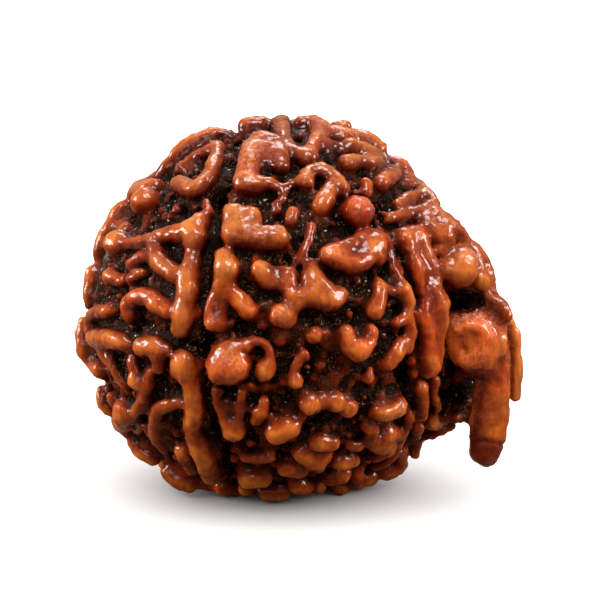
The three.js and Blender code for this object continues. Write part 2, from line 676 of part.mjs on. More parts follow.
// The traced skin, back in millimetres, then thinned where it bends least.
const traced = new THREE.BufferGeometry().setAttribute(
  "position",
  new THREE.BufferAttribute(tracer.positionArray.slice(0, tracer.count * 3), 3),
);
traced.scale(gridHalfExtent, gridHalfExtent, gridHalfExtent);
traced.translate(gridCentre.x, gridCentre.y, gridCentre.z);
const merged = mergeVertices(traced, 1e-4);
const thinned = await new SimplifyModifier().modify(
  merged,
  Math.round(merged.attributes.position.count * (1 - (keptTriangles * 3) / merged.index.count)),
);

// Solids: the one outer body is kept, so sealed hollows fill up and scraps go.
const wasm = await Module();
wasm.setup();

function solidOf(geometry) {
  const bare = new THREE.BufferGeometry()
    .setAttribute("position", geometry.getAttribute("position"))
    .setIndex(geometry.getIndex());
  const closed = mergeVertices(bare, 1e-5);
  return new wasm.Manifold(
    new wasm.Mesh({
      numProp: 3,
      vertProperties: new Float32Array(closed.attributes.position.array),
      triVerts: new Uint32Array(closed.index.array),
    }),
  );
}

const largestBody = (solid) =>
  solid.decompose().sort((a, b) => b.volume() - a.volume())[0];

// Thinning can leave two sheets of skin meeting along one edge. These edges are
// the ones that more than two triangles share.
function sharedEdges(mesh) {
  const position = mesh.vertProperties;
  const corner = (v) => new THREE.Vector3().fromArray(position, v * 3);
  const nameOf = (p) => p.toArray().map((n) => n.toFixed(4)).join(" ");
  const edges = new Map();
  for (let t = 0; t < mesh.triVerts.length; t += 3) {
    for (let side = 0; side < 3; side++) {
      const a = corner(mesh.triVerts[t + side]);
      const b = corner(mesh.triVerts[t + ((side + 1) % 3)]);
      const key = [nameOf(a), nameOf(b)].sort().join(" / ");
      const edge = edges.get(key) ?? { a, b, triangles: 0 };
      edge.triangles += 1;
      edges.set(key, edge);
    }
  }
  return [...edges.values()].filter((edge) => edge.triangles > 2);
}

// A pellet round such an edge fuses the two sheets there.
function pelletAround({ a, b }) {
  const along = b.clone().sub(a);
  const pellet = new THREE.IcosahedronGeometry(1, 0);
  pellet.scale(pelletRadius, along.length() / 2 + pelletRadius, pelletRadius);
  pellet.applyQuaternion(
    new THREE.Quaternion().setFromUnitVectors(THREE.Object3D.DEFAULT_UP, along.normalize()),
  );
  const middle = a.clone().add(b).divideScalar(2);
  pellet.translate(middle.x, middle.y, middle.z);
  return solidOf(pellet);
}

let outerBody = largestBody(solidOf(thinned));
for (const edge of sharedEdges(outerBody.getMesh())) {
  outerBody = largestBody(outerBody.add(pelletAround(edge)));
}

// The flat spot: everything below one level is cut away.
const lowest = outerBody.boundingBox().min[2];
const cutDepth = 4;
const cutWidth = 40;
const cutter = new THREE.BoxGeometry(cutWidth, cutWidth, cutDepth);
cutter.translate(0, 0, lowest + flatSpotDepth - cutDepth / 2);
cutter.deleteAttribute("normal");
cutter.deleteAttribute("uv");
const seated = outerBody.subtract(solidOf(cutter)).getMesh();

const seedGeometry = new THREE.BufferGeometry()
  .setAttribute("position", new THREE.BufferAttribute(seated.vertProperties, 3))
  .setIndex(new THREE.BufferAttribute(seated.triVerts, 1));

// The origin is the middle of the bounding box's bottom.
seedGeometry.computeBoundingBox();
const { min, max } = seedGeometry.boundingBox;
seedGeometry.translate(-(min.x + max.x) / 2, -(min.y + max.y) / 2, -min.z);
seedGeometry.computeVertexNormals();

const huskMaterial = new THREE.MeshStandardMaterial({
  color: 0x8a3a1c,
  roughness: 0.34,
  metalness: 0,
});

const seed = new THREE.Mesh(seedGeometry, huskMaterial);
seed.name = "rudraksha_seed";

const group = new THREE.Group();
group.add(seed);

export default group;
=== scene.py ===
import math
import bpy
import numpy as np
from mathutils import Euler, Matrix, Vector


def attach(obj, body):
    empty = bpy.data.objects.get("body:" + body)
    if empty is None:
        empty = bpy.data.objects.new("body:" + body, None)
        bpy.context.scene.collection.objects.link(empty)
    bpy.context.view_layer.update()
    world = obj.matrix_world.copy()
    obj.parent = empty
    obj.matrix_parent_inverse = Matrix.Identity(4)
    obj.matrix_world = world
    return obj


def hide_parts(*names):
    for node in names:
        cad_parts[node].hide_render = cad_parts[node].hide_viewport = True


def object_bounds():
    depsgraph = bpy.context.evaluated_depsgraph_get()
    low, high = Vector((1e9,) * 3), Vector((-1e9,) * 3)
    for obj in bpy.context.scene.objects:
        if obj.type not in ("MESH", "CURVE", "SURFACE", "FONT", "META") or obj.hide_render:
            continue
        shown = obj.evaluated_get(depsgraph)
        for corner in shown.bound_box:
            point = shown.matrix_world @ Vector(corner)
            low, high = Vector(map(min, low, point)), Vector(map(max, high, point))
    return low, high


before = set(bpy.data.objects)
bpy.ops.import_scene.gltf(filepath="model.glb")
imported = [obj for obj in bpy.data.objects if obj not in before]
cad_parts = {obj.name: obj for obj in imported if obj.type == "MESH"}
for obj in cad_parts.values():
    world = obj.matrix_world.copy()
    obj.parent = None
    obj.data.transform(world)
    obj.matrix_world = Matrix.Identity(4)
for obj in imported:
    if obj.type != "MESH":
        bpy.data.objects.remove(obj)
cadLow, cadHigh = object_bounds()
scene = bpy.context.scene
print("frame loaded")

# The seed is modelled in millimetres round the middle of its body, then set into the frame's metres.
# Strokes are places in the photograph: [x pixel, y pixel, half width in pixels].
photoView = {
    "pixelsPerMm": 16.0,
    "bodyPixel": (272, 308),
    "middlePixel": (300, 300),
    "width": 600,
    "elevation": 14.0,  # degrees above the horizon
    "lens": 600.0,
    "sensor": 36.0,
}

leftLobe = {
    "topArc": [[178, 151, 6], [190, 143, 7], [205, 136, 7], [216, 133, 6], [227, 134, 5]],
    "hook": [[218, 150, 6], [215, 165, 7], [209, 179, 8], [197, 190, 9], [180, 185, 8]],
    "hookArm": [[217, 149, 6], [206, 154, 6], [194, 159, 6], [185, 167, 6]],
    "behindHook": [[161, 177, 5], [167, 165, 6], [174, 157, 5]],
    "blobCrest": [[132, 194, 5], [139, 186, 5], [150, 181, 5], [159, 177, 4]],
    "bigBlob": [[141, 194, 11], [149, 191, 12], [157, 187, 7]],
    "bigBlobFoot": [[146, 202, 14]],
    "upperEdge": [[111, 221, 5], [115, 213, 6], [121, 207, 6], [129, 206, 4]],
    "brownBlock": [[110, 230, 8], [118, 227, 8], [127, 229, 6]],
    "longDiagonal": [[118, 244, 13], [128, 244, 5], [145, 242, 6], [160, 238, 7], [176, 234, 8],
                [190, 232, 11], [201, 223, 9]],
    "diagonalBulge": [[197, 238, 11], [195, 251, 6]],
    "furrowNeck": [[207, 203, 3], [210, 213, 4]],
    "secondEdge": [[103, 235, 6], [99, 250, 6], [99, 262, 4]],
    "thirdEdge": [[91, 272, 6], [89, 284, 6], [88, 296, 6], [88, 304, 4]],
    "smallBall": [[112, 277, 8], [122, 281, 5]],
    "smallBead": [[132, 279, 5], [143, 273, 4]],
    "smallArch": [[133, 264, 5], [142, 258, 5], [153, 258, 5], [161, 264, 6]],
    "slopingPlate": [[156, 252, 7], [163, 265, 9], [176, 274, 9]],
    "mainVertical": [[194, 262, 8], [190, 278, 10], [188, 298, 10], [185, 316, 10], [182, 328, 9]],
    "bigArch": [[131, 314, 7], [130, 306, 8], [138, 298, 8], [149, 297, 8], [159, 304, 9], [169, 310, 8]],
    "leftArch": [[107, 311, 6], [97, 312, 6], [91, 320, 6], [91, 330, 7]],
    "leftBar": [[96, 338, 9], [108, 339, 9], [122, 341, 8], [129, 345, 5]],
    "fourthEdge": [[83, 322, 4], [80, 335, 5], [82, 348, 6]],
    "bean": [[144, 346, 9], [157, 346, 9], [168, 350, 6]],
    "beanLink": [[160, 358, 6], [160, 368, 5]],
    "fifthEdge": [[83, 355, 5], [92, 362, 7], [100, 369, 8]],
    "edgeSlope": [[104, 352, 6], [112, 363, 5], [120, 377, 4], [126, 385, 3]],
    "secondBall": [[134, 363, 5], [137, 372, 6], [138, 379, 9]],
    "thinStrand": [[152, 372, 4], [150, 385, 4], [146, 394, 4]],
    "longTop": [[184, 361, 11]],
    "longTopFoot": [[177, 371, 5], [184, 366, 8]],
    "longRight": [[187, 370, 9], [192, 386, 8], [195, 402, 8], [195, 417, 9], [194, 430, 8],
                [200, 446, 10], [207, 462, 10], [212, 477, 8]],
    "squareArch": [[181, 402, 5], [168, 405, 6], [159, 410, 6], [156, 424, 6], [157, 438, 6],
                [163, 447, 5]],
    "thirdBall": [[125, 411, 11], [124, 423, 10]],
    "thirdBallBranch": [[131, 417, 6], [139, 408, 5], [146, 398, 4]],
    "sixthEdge": [[100, 391, 4], [101, 402, 5], [108, 411, 4]],
    "sixthInner": [[112, 397, 5], [117, 407, 4]],
    "seventhEdge": [[115, 421, 3], [120, 428, 5], [127, 434, 4]],
    "eighthEdge": [[133, 445, 5], [140, 453, 6], [152, 460, 6]],
    "smallRing": [[137, 432, 3], [145, 427, 3], [150, 435, 3]],
    "fourthBall": [[184, 450, 7], [186, 458, 6], [192, 470, 5]],
    "bottomLeft": [[168, 473, 7], [178, 481, 8], [188, 485, 7]],
    "bottomBead": [[202, 483, 6], [212, 484, 7]],
}

leftLobeLow = {
    "hookDish": [[196, 172, 9]],
    "squareInner": [[170, 420, 5], [171, 438, 6]],
}

centreLobe = {
    "poleLeft": [[248, 126, 9], [261, 125, 9]],
    "poleRight": [[281, 122, 8], [283, 136, 7], [287, 148, 6]],
    "topHook": [[302, 123, 7], [314, 123, 8], [320, 136, 9], [313, 149, 8], [307, 159, 8]],
    "blockLeft": [[262, 143, 10], [255, 152, 13], [250, 168, 12], [247, 182, 10]],
    "blockRight": [[258, 143, 9], [272, 144, 9], [280, 154, 9], [281, 167, 7]],
    "blockMiddle": [[267, 153, 9], [266, 164, 7]],
    "blockFoot": [[244, 186, 9], [257, 186, 9], [268, 185, 7], [276, 188, 5]],
    "joiningPlateau": [[286, 147, 6], [296, 154, 7], [307, 159, 7]],
    "rightPlate": [[322, 131, 9], [338, 137, 11], [353, 142, 12], [368, 148, 10], [380, 155, 6]],
    "rightPlateMiddle": [[351, 149, 10], [362, 153, 11], [374, 156, 8]],
    "rightPlateFoot": [[347, 164, 8], [358, 163, 7], [368, 164, 9], [379, 162, 8]],
    "plateCrest": [[336, 126, 5], [346, 125, 5]],
    "plateCrestEnd": [[359, 133, 4], [367, 135, 4]],
    "plateEdge": [[374, 140, 5], [381, 147, 5]],
    "plateFilling": [[322, 149, 4], [334, 147, 5], [342, 151, 4]],
    "crookTop": [[305, 183, 8], [310, 174, 6], [321, 172, 8], [333, 179, 8], [341, 190, 8]],
    "crookLeg": [[330, 188, 6], [326, 200, 9], [320, 208, 8]],
    "redBead": [[357, 213, 16]],
    "smallPeak": [[365, 185, 6], [367, 196, 3]],
    "crumbLeft": [[276, 206, 4], [277, 211, 4]],
    "crumbRight": [[293, 214, 5], [291, 222, 5]],
    "crumbStrand": [[291, 185, 3], [284, 192, 3], [283, 200, 3]],
    "saddleLeft": [[233, 214, 9], [233, 234, 10]],
    "saddleTop": [[238, 216, 8], [252, 217, 9], [253, 232, 8]],
    "saddleMiddle": [[243, 226, 10]],
    "saddleFoot": [[236, 237, 10], [258, 239, 11], [277, 239, 11]],
    "slimStrand": [[311, 228, 4], [309, 240, 4], [304, 252, 4], [301, 260, 3]],
    "pear": [[226, 258, 9], [228, 270, 12], [224, 285, 8]],
    "pearLeft": [[223, 287, 7], [217, 298, 6], [213, 311, 6], [214, 323, 7]],
    "pearStrand": [[224, 300, 4], [223, 316, 4], [223, 327, 3]],
    "pearRight": [[231, 291, 7], [241, 301, 8], [250, 311, 8]],
    "commaHead": [[261, 271, 9], [267, 280, 8], [278, 283, 6]],
    "commaPlate": [[275, 272, 4], [288, 273, 6]],
    "commaTail": [[287, 279, 7], [290, 292, 8], [296, 303, 8]],
    "twinBall": [[280, 315, 10], [287, 319, 8]],
    "twinBallLink": [[290, 308, 6], [286, 313, 7]],
    "wedge": [[312, 263, 4], [311, 276, 8], [312, 290, 10]],
    "wedgeMiddle": [[317, 283, 9], [327, 293, 9]],
    "wedgeFoot": [[305, 297, 8], [318, 300, 9], [332, 302, 9], [341, 294, 7]],
    "redBall": [[314, 335, 7]],
    "bigHeadLeft": [[226, 365, 18]],
    "bigHeadRight": [[234, 364, 17]],
    "bigHeadTop": [[227, 350, 9], [236, 346, 7], [246, 344, 4]],
    "ringHandle": [[248, 345, 3], [255, 341, 3], [263, 342, 3], [269, 349, 3], [270, 357, 3]],
    "ringDrop": [[268, 364, 6]],
    "ringDropEnd": [[266, 371, 8]],
    "middleStrand": [[303, 353, 3], [298, 361, 4], [294, 371, 4], [295, 380, 7]],
    "loopLeft": [[216, 390, 3], [219, 404, 4], [226, 418, 5], [235, 430, 10]],
    "loopRight": [[243, 392, 3], [241, 407, 3], [239, 420, 4]],
    "lowerStrand": [[264, 401, 5], [261, 411, 6], [257, 419, 4]],
    "lowerBean": [[277, 431, 11], [289, 426, 11]],
    "caterpillar": [[310, 403, 10], [318, 401, 7], [324, 400, 8], [329, 400, 7], [335, 401, 10],
                [341, 404, 7], [348, 407, 9]],
    "caterpillarLink": [[303, 414, 3], [299, 420, 3]],
    "lipLower": [[328, 255, 9], [341, 261, 9], [354, 264, 9], [366, 257, 9], [373, 245, 9]],
    "lipRight": [[377, 243, 8], [378, 258, 8]],
    "lipRim": [[360, 240, 4], [369, 235, 5], [380, 236, 5], [387, 246, 5], [390, 259, 4]],
    "lipTop": [[334, 251, 6], [346, 248, 6], [359, 242, 7]],
    "lipMiddle": [[366, 248, 8]],
    "bridgeLeft": [[379, 284, 5], [378, 296, 7], [374, 310, 8]],
    "bridge": [[384, 289, 4], [393, 291, 4], [401, 287, 6], [397, 277, 4], [392, 269, 3]],
    "bridgeRight": [[403, 291, 7], [407, 303, 7], [406, 314, 5]],
    "furrowBorder": [[397, 322, 5], [405, 320, 5], [409, 332, 6], [406, 348, 6]],
    "heart": [[346, 333, 8], [348, 343, 9], [357, 349, 12], [367, 342, 8], [370, 332, 7]],
    "smallDiagonal": [[400, 344, 6], [394, 354, 8], [388, 362, 7]],
    "drop": [[369, 369, 2], [368, 377, 5]],
    "rightBean": [[377, 411, 9], [388, 409, 10], [396, 406, 10]],
    "webRim": [[409, 417, 5], [405, 430, 4], [399, 441, 4], [395, 452, 4], [386, 461, 5], [376, 467, 4]],
    "webInner": [[366, 425, 5], [372, 428, 7], [370, 437, 6], [380, 445, 9]],
    "webPlate": [[398, 434, 6], [387, 434, 9], [386, 449, 9], [376, 457, 5]],
    "webBead": [[350, 445, 4], [358, 445, 5]],
    "lowerBar": [[318, 441, 8], [332, 442, 7]],
    "lowerBarFoot": [[301, 452, 8], [313, 459, 10], [319, 466, 6]],
    "lowerBarSide": [[324, 453, 7], [320, 459, 7]],
    "lowerLeftBar": [[245, 457, 4], [258, 457, 5], [270, 455, 5]],
    "lowerLeftLump": [[249, 477, 11], [263, 477, 9]],
    "lowerLeftFoot": [[246, 489, 7]],
    "bottomMiddle": [[268, 491, 9], [280, 491, 10]],
    "bottomBeads": [[297, 485, 8], [306, 486, 8]],
    "bottomBead": [[318, 487, 7]],
    "bottomRight": [[332, 478, 8], [341, 474, 9]],
    "bottomRightFoot": [[340, 488, 8]],
    "bottomEnd": [[357, 473, 6], [357, 482, 8]],
    "bottomEndBead": [[371, 480, 6]],
    "bottomLeftBar": [[222, 486, 8], [234, 489, 7]],
    "nestedLump": [[288, 466, 9], [300, 470, 7]],
    "hiddenLump": [[340, 461, 8], [352, 460, 7]],
}

centreLobeLow = {
    "darkBar": [[322, 380, 4], [334, 375, 5], [343, 371, 4]],
    "hollowFloor": [[318, 221, 4], [324, 219, 4]],
    "loopWeb": [[230, 402, 8]],
    "twinBallFoot": [[282, 336, 7]],
    "middleBar": [[320, 338, 6], [333, 338, 6]],
    "diagonalFoot": [[386, 378, 5]],
}

rightLobe = {
    "upperBar": [[381, 184, 8], [390, 177, 8], [397, 170, 6]],
    "upperArc": [[393, 160, 4], [402, 163, 5], [408, 173, 6], [407, 184, 5]],
    "firstRung": [[397, 205, 5], [409, 199, 7], [419, 197, 7]],
    "secondRung": [[391, 218, 5], [404, 216, 6], [420, 211, 6]],
    "rungEnd": [[417, 183, 5], [426, 193, 6], [434, 203, 5]],
    "slopeOuter": [[430, 206, 6], [438, 216, 7], [447, 226, 8], [458, 233, 6]],
    "slopeInner": [[425, 222, 7], [434, 232, 8], [445, 239, 8], [441, 250, 6]],
    "slopeEdge": [[446, 219, 4], [456, 226, 4]],
    "ribTop": [[404, 236, 8], [416, 235, 9]],
    "ribLeft": [[405, 242, 7], [411, 257, 7], [417, 274, 7], [420, 289, 5]],
    "ribRight": [[419, 241, 8], [425, 257, 8], [430, 272, 8], [433, 289, 9], [437, 303, 9]],
    "ribFilling": [[412, 243, 6], [417, 257, 5], [422, 274, 5], [427, 292, 5], [430, 310, 5],
                [431, 330, 4], [431, 348, 4]],
    "lowerRibLeft": [[424, 300, 5], [424, 318, 6], [427, 338, 8], [428, 358, 9], [430, 366, 10]],
    "lowerRibRight": [[438, 306, 9], [439, 318, 9], [437, 333, 7], [436, 348, 7], [435, 361, 6]],
    "knob": [[461, 261, 14]],
    "knobLow": [[461, 273, 14]],
    "knobLeft": [[448, 269, 11]],
    "knobRight": [[474, 253, 4], [478, 266, 4], [482, 280, 5]],
    "shoulderEdge": [[463, 240, 5], [474, 249, 6], [484, 263, 6], [490, 279, 5], [492, 291, 4]],
    "shoulderLump": [[483, 283, 6]],
    "shoulderFoot": [[488, 297, 5], [499, 304, 6], [506, 315, 6]],
    "tanStrand": [[435, 380, 4], [434, 393, 3], [437, 408, 4]],
    "furrowVertical": [[421, 388, 6], [422, 402, 6], [421, 414, 6]],
    "furrowVerticalFoot": [[418, 428, 5], [417, 436, 4]],
    "lowerRimOuter": [[446, 418, 4], [458, 418, 4]],
    "lowerRim": [[432, 422, 8], [444, 424, 7], [450, 427, 4]],
    "lowerRimFoot": [[428, 436, 4], [442, 432, 4]],
    "lowerStub": [[402, 452, 6], [402, 465, 5]],
    "lowerStubSide": [[417, 446, 5], [416, 455, 4]],
    "darkFoot": [[388, 472, 9], [397, 470, 6]],
}

trunkRidges = {
    "lumpLip": [[491, 333, 3], [491, 350, 3], [484, 365, 4], [468, 371, 4], [450, 379, 4], [439, 386, 3]],
    "topFold": [[486, 306, 5], [497, 318, 5], [501, 332, 4], [502, 348, 3]],
}

trunkLump = {
    "ring": [[456, 331, 7], [467, 326, 7], [479, 329, 7], [484, 341, 7], [480, 354, 8], [469, 360, 9],
                [458, 355, 8], [453, 343, 7], [456, 331, 7]],
    "core": [[466, 338, 5], [471, 346, 5]],
}


# The body under the ridges, mm and degrees. Azimuth 0 faces the front.
body = {
    "half": (10.75, 10.8, 10.6),
    "furrowDepth": 1.0,
    "furrowHalfWidth": 0.42,
    "lobeSwell": 0.3,
    "lobeReach": 2.0,
    "footKnot": (0.45, 0.0, -9.75),
    "footKnotRadius": 2.35,
    "footBlend": 0.3,
    "flatSpotDepth": 0.55,
    "ballSubdivisions": 7,
}
# azimuth at the equator, drift to the upper pole, drift to the lower pole
furrows = [(-20.5, -10, 0), (48, 22, 28), (118, 6, 4), (190, -8, 6), (268, 5, -5)]
# azimuth, latitude, spread, height in mm
swellings = [(98, -36, 27, 1.25), (-100, 38, 34, -0.9), (-75, -42, 28, 0.08), (40, 52, 26, 0.1),
             (48, -40, 24, -0.25)]

# The trunk's core: x pixel, y pixel, half width in pixels, mm nearer to the front than the body's middle.
trunk = {
    "shoulder": [(424, 246, 32, 2.0), (448, 285, 32, 2.0), (467, 318, 29, 2.1), (480, 345, 23, 2.3)],
    "limb": [(485, 330, 20, 2.3), (490, 358, 19, 2.5), (492, 388, 18, 2.6), (491, 415, 18, 2.6),
             (488, 437, 17.5, 2.5), (485, 449, 16.5, 2.4)],
    "web": [(447, 360, 18, 0.4), (461, 386, 15, 0.3), (464, 401, 12, 0.3)],
    "backStrand": [(507, 318, 5, 1.9), (514, 336, 6.5, 1.7), (516, 356, 6.5, 1.7), (516.5, 376, 6.5, 1.7),
                   (515, 395, 6.5, 1.7)],
    "frontStrand": [(478, 374, 3, 3.4), (476, 396, 3.5, 3.1), (472.5, 420, 3.5, 2.9), (472, 440, 3.5, 2.8)],
    "strandBlend": 0.15,
    "blend": 0.9,
    "wrinkles": [(424, 0.04), (430, 0.04), (441, 0.13), (451, 0.03)],  # y pixel, depth in mm
    "wrinkleHalf": 0.12,
    "wrinkleTilt": 0.16,
}

# dips in the near floor: x pixel, y pixel, half width and half height in pixels, depth in mm
dips = [(463, 301, 22, 9, 1.1), (449, 368, 9, 9, 0.6)]

ridgeShape = {
    "height": 1.9,
    "baseHeight": 0.75,
    "heightPerRadius": 1.35,
    "lowShare": 0.55,
    "trunkShare": 0.5,
    "lumpShare": 0.8,
    "plump": 0.1,  # added to every drawn half width, mm
    "footShare": 1.3,
    "footWiden": 0.25,
    "ballFootShare": 1.0,
    "footSink": 0.35,
    "rootBlend": 0.2,  # crest into foot
    "blend": 0.42,  # foot into floor
    "beadsPerSpan": 2,  # while the ridges are laid
    "fineBeadsPerSpan": 5,
}

# The far side repeats the drawn ridges, turned about the body's middle: x, y, z degrees for each pass.
farSide = {
    "passes": [(180, 12, 0), (0, 180, 100), (-82, 20, 0), (84, 160, 0), (20, 95, 178), (-35, 0, -95),
               (140, -60, 30), (100, 60, -120), (-110, -75, 60), (15, 30, 140)],
    "seenFromFront": 0.06,
    "facingFront": 0.35,
    "ridgeSpacing": 0.42,
    "trunkRootClearance": 0.9,
    "furrowClearance": 0.35,
}

elevation = math.radians(photoView["elevation"])
sight = np.array([0, math.cos(elevation), -math.sin(elevation)])
pictureUp = np.array([0, math.sin(elevation), math.cos(elevation)])
pictureRight = np.array([1.0, 0, 0])


def pixelPoints(x, y, along):
    right = (np.asarray(x) - photoView["bodyPixel"][0]) / photoView["pixelsPerMm"]
    up = (photoView["bodyPixel"][1] - np.asarray(y)) / photoView["pixelsPerMm"]
    along = np.asarray(along, float)
    return right[..., None] * pictureRight + up[..., None] * pictureUp + along[..., None] * sight


def directionOf(azimuth, latitude):
    a, l = math.radians(azimuth), math.radians(latitude)
    return np.array([math.cos(l) * math.sin(a), -math.cos(l) * math.cos(a), math.sin(l)])


def smoothMin(a, b, blend):
    h = np.maximum(blend - np.abs(a - b), 0) / blend
    return np.minimum(a, b) - h * h * blend / 4


def smoothMax(a, b, blend):
    return -smoothMin(-a, -b, blend)


# distance of points from a chain of round beads joined by cones; a bead is x, y, z, radius
def chainDistance(points, beads):
    starts = beads[:-1] if len(beads) > 1 else beads
    ends = beads[1:] if len(beads) > 1 else beads
    best = np.full(points.shape[:-1], np.inf)
    for a, b in zip(starts, ends):
        along = b[:3] - a[:3]
        away = points - a[:3]
        share = np.clip(away @ along / max(along @ along, 1e-9), 0, 1)
        gap = np.linalg.norm(away - share[..., None] * along, axis=-1)
        best = np.minimum(best, gap - (a[3] + share * (b[3] - a[3])))
    return best


def smoothRadius(directions):
    radius = 1 / np.linalg.norm(directions / np.array(body["half"]), axis=-1)
    for azimuth, latitude, spread, height in swellings:
        sharpness = 1 / (1 - math.cos(math.radians(spread)))
        radius = radius + height * np.exp(-sharpness * (1 - directions @ directionOf(azimuth, latitude)))
    return radius


# how far points are from the middle of the nearest furrow, along the floor
def furrowDistance(points):
    distance = np.maximum(np.linalg.norm(points, axis=-1), 1e-6)
    sine = np.clip(points[..., 2] / distance, -1, 1)
    azimuth = np.degrees(np.arctan2(points[..., 0], -points[..., 1]))
    ring = distance * np.sqrt(1 - sine * sine)
    nearest = np.full(distance.shape, np.inf)
    for middle, upper, lower in furrows:
        here = middle + np.where(sine > 0, upper, lower) * sine * sine
        across = np.abs((azimuth - here + 180) % 360 - 180)
        nearest = np.minimum(nearest, np.radians(across) * ring)
    return nearest


def furrowChange(points):
    nearest = furrowDistance(points)
    groove = np.exp(-(nearest / body["furrowHalfWidth"]) ** 2)
    return body["lobeSwell"] * (1 - np.exp(-nearest / body["lobeReach"])) - body["furrowDepth"] * groove


def coreBeads(steps):
    beads = []
    for x, y, half, nearer in steps:
        flat = pixelPoints(x, y, 0)
        along = (-nearer - flat[1]) / sight[1]
        beads.append([*pixelPoints(x, y, along), half / photoView["pixelsPerMm"]])
    return np.array(beads)


trunkChains = [coreBeads(trunk[name]) for name in ("shoulder", "limb", "web")]
strandChains = [coreBeads(trunk[name]) for name in ("backStrand", "frontStrand")]


def trunkDistance(points):
    distance = chainDistance(points, trunkChains[0])
    for chain in trunkChains[1:]:
        distance = smoothMin(distance, chainDistance(points, chain), trunk["blend"])
    return distance


# cross wrinkles on the lower trunk, as a change of its surface
def trunkWrinkles(points):
    up = points @ pictureUp + trunk["wrinkleTilt"] * (points[..., 0] - trunkChains[1][-1, 0])
    change = np.zeros(up.shape)
    for y, depth in trunk["wrinkles"]:
        middle = (photoView["bodyPixel"][1] - y) / photoView["pixelsPerMm"]
        change -= depth * np.exp(-((up - middle) / trunk["wrinkleHalf"]) ** 2)
    onLimb = np.clip((points[..., 0] - trunkChains[1][0, 0] + 1.2) / 0.8, 0, 1)
    return change * onLimb


# the surface that the ridges stand on, without the furrows
def smoothFloor(points):
    distance = np.maximum(np.linalg.norm(points, axis=-1), 1e-6)
    bodyDistance = distance - smoothRadius(points / distance[..., None])
    return smoothMin(bodyDistance, trunkDistance(points), trunk["blend"])


def dipDepth(points):
    right = points @ pictureRight * photoView["pixelsPerMm"] + photoView["bodyPixel"][0]
    down = photoView["bodyPixel"][1] - points @ pictureUp * photoView["pixelsPerMm"]
    depth = np.zeros(right.shape)
    for x, y, wide, high, deep in dips:
        depth += deep * np.exp(-((right - x) / wide) ** 2 - ((down - y) / high) ** 2)
    return depth * (points @ sight < 0)


def carvedFloor(points):
    distance = np.maximum(np.linalg.norm(points, axis=-1), 1e-6)
    bodyDistance = distance - smoothRadius(points / distance[..., None]) - furrowChange(points)
    knot = np.linalg.norm(points - np.array(body["footKnot"]), axis=-1) - body["footKnotRadius"]
    seat = smoothMin(bodyDistance, knot, body["footBlend"])
    floor = smoothMin(seat, trunkDistance(points), trunk["blend"]) + dipDepth(points)
    for chain in strandChains:
        floor = smoothMin(floor, chainDistance(points, chain), trunk["strandBlend"])
    return floor


def floorNormals(points):
    step = 0.05
    normals = np.stack([smoothFloor(points + offset) - smoothFloor(points - offset)
                        for offset in np.eye(3) * step], axis=-1)
    return normals / np.linalg.norm(normals, axis=-1)[..., None]


# where the line of sight through each pixel first comes within a lift of the floor, or passes nearest to it
def castPixels(x, y, lifts):
    step, reach = 0.12, 16
    along = np.arange(-reach, reach, step)
    rays = pixelPoints(np.repeat(x[:, None], len(along), 1), np.repeat(y[:, None], len(along), 1),
                       np.repeat(along[None], len(x), 0))
    distance = smoothFloor(rays) - lifts[:, None]
    inside = distance <= 0
    first = inside.argmax(1)
    rows = np.arange(len(x))
    hit = distance[rows, first]
    before = distance[rows, np.maximum(first - 1, 0)]
    reached = along[first] + step * hit / np.maximum(before - hit, 1e-9)
    nearest = along[distance.argmin(1)]
    return pixelPoints(x, y, np.where(inside.any(1), reached, nearest))


def topHeight(radius, share):
    return share * np.minimum(ridgeShape["height"],
                              ridgeShape["baseHeight"] + ridgeShape["heightPerRadius"] * radius)


# a smooth line through beads, with more beads along it
def smoothChain(points, radii, beadsPerSpan):
    if len(points) == 1:
        return np.array([[*points[0], radii[0]]])
    padded = np.vstack([2 * points[0] - points[1], points, 2 * points[-1] - points[-2]])
    beads = []
    for i in range(len(points) - 1):
        p0, p1, p2, p3 = padded[i:i + 4]
        d0, d1, d2 = (max(np.linalg.norm(b - a), 1e-6) ** 0.5 for a, b in ((p0, p1), (p1, p2), (p2, p3)))
        leave = ((p1 - p0) / d0 - (p2 - p0) / (d0 + d1) + (p2 - p1) / d1) * d1
        arrive = ((p2 - p1) / d1 - (p3 - p1) / (d1 + d2) + (p3 - p2) / d2) * d1
        for t in np.arange(beadsPerSpan) / beadsPerSpan:
            place = (p1 + leave * t + (3 * (p2 - p1) - 2 * leave - arrive) * t ** 2
                     + (2 * (p1 - p2) + leave + arrive) * t ** 3)
            beads.append([*place, radii[i] + t * (radii[i + 1] - radii[i])])
    beads.append([*points[-1], radii[-1]])
    return np.array(beads)


# a ridge: one chain along its crest, and a wider one sunk in the floor at its foot
def makeRidge(name, points, share):
    crest, normals, radii = points
    lift = np.maximum(topHeight(radii, share) - radii, 0)
    feet = crest - normals * (lift + ridgeShape["footSink"])[:, None]
    return {
        "name": name,
        "share": share,
        "points": points,
        "feet": feet,
        "crest": smoothChain(crest, radii, ridgeShape["beadsPerSpan"]),
    }


# the crest points of drawn strokes, all cast at once
def drawnPoints(strokes, share):
    steps = np.array([step for stroke in strokes.values() for step in stroke], float)
    radii = steps[:, 2] / photoView["pixelsPerMm"]
    crests = castPixels(steps[:, 0], steps[:, 1], np.maximum(topHeight(radii, share) - radii, 0))
    normals = floorNormals(crests)
    made, at = {}, 0
    for name, stroke in strokes.items():
        here = slice(at, at + len(stroke))
        made[name] = (crests[here], normals[here], radii[here])
        at += len(stroke)
    return made


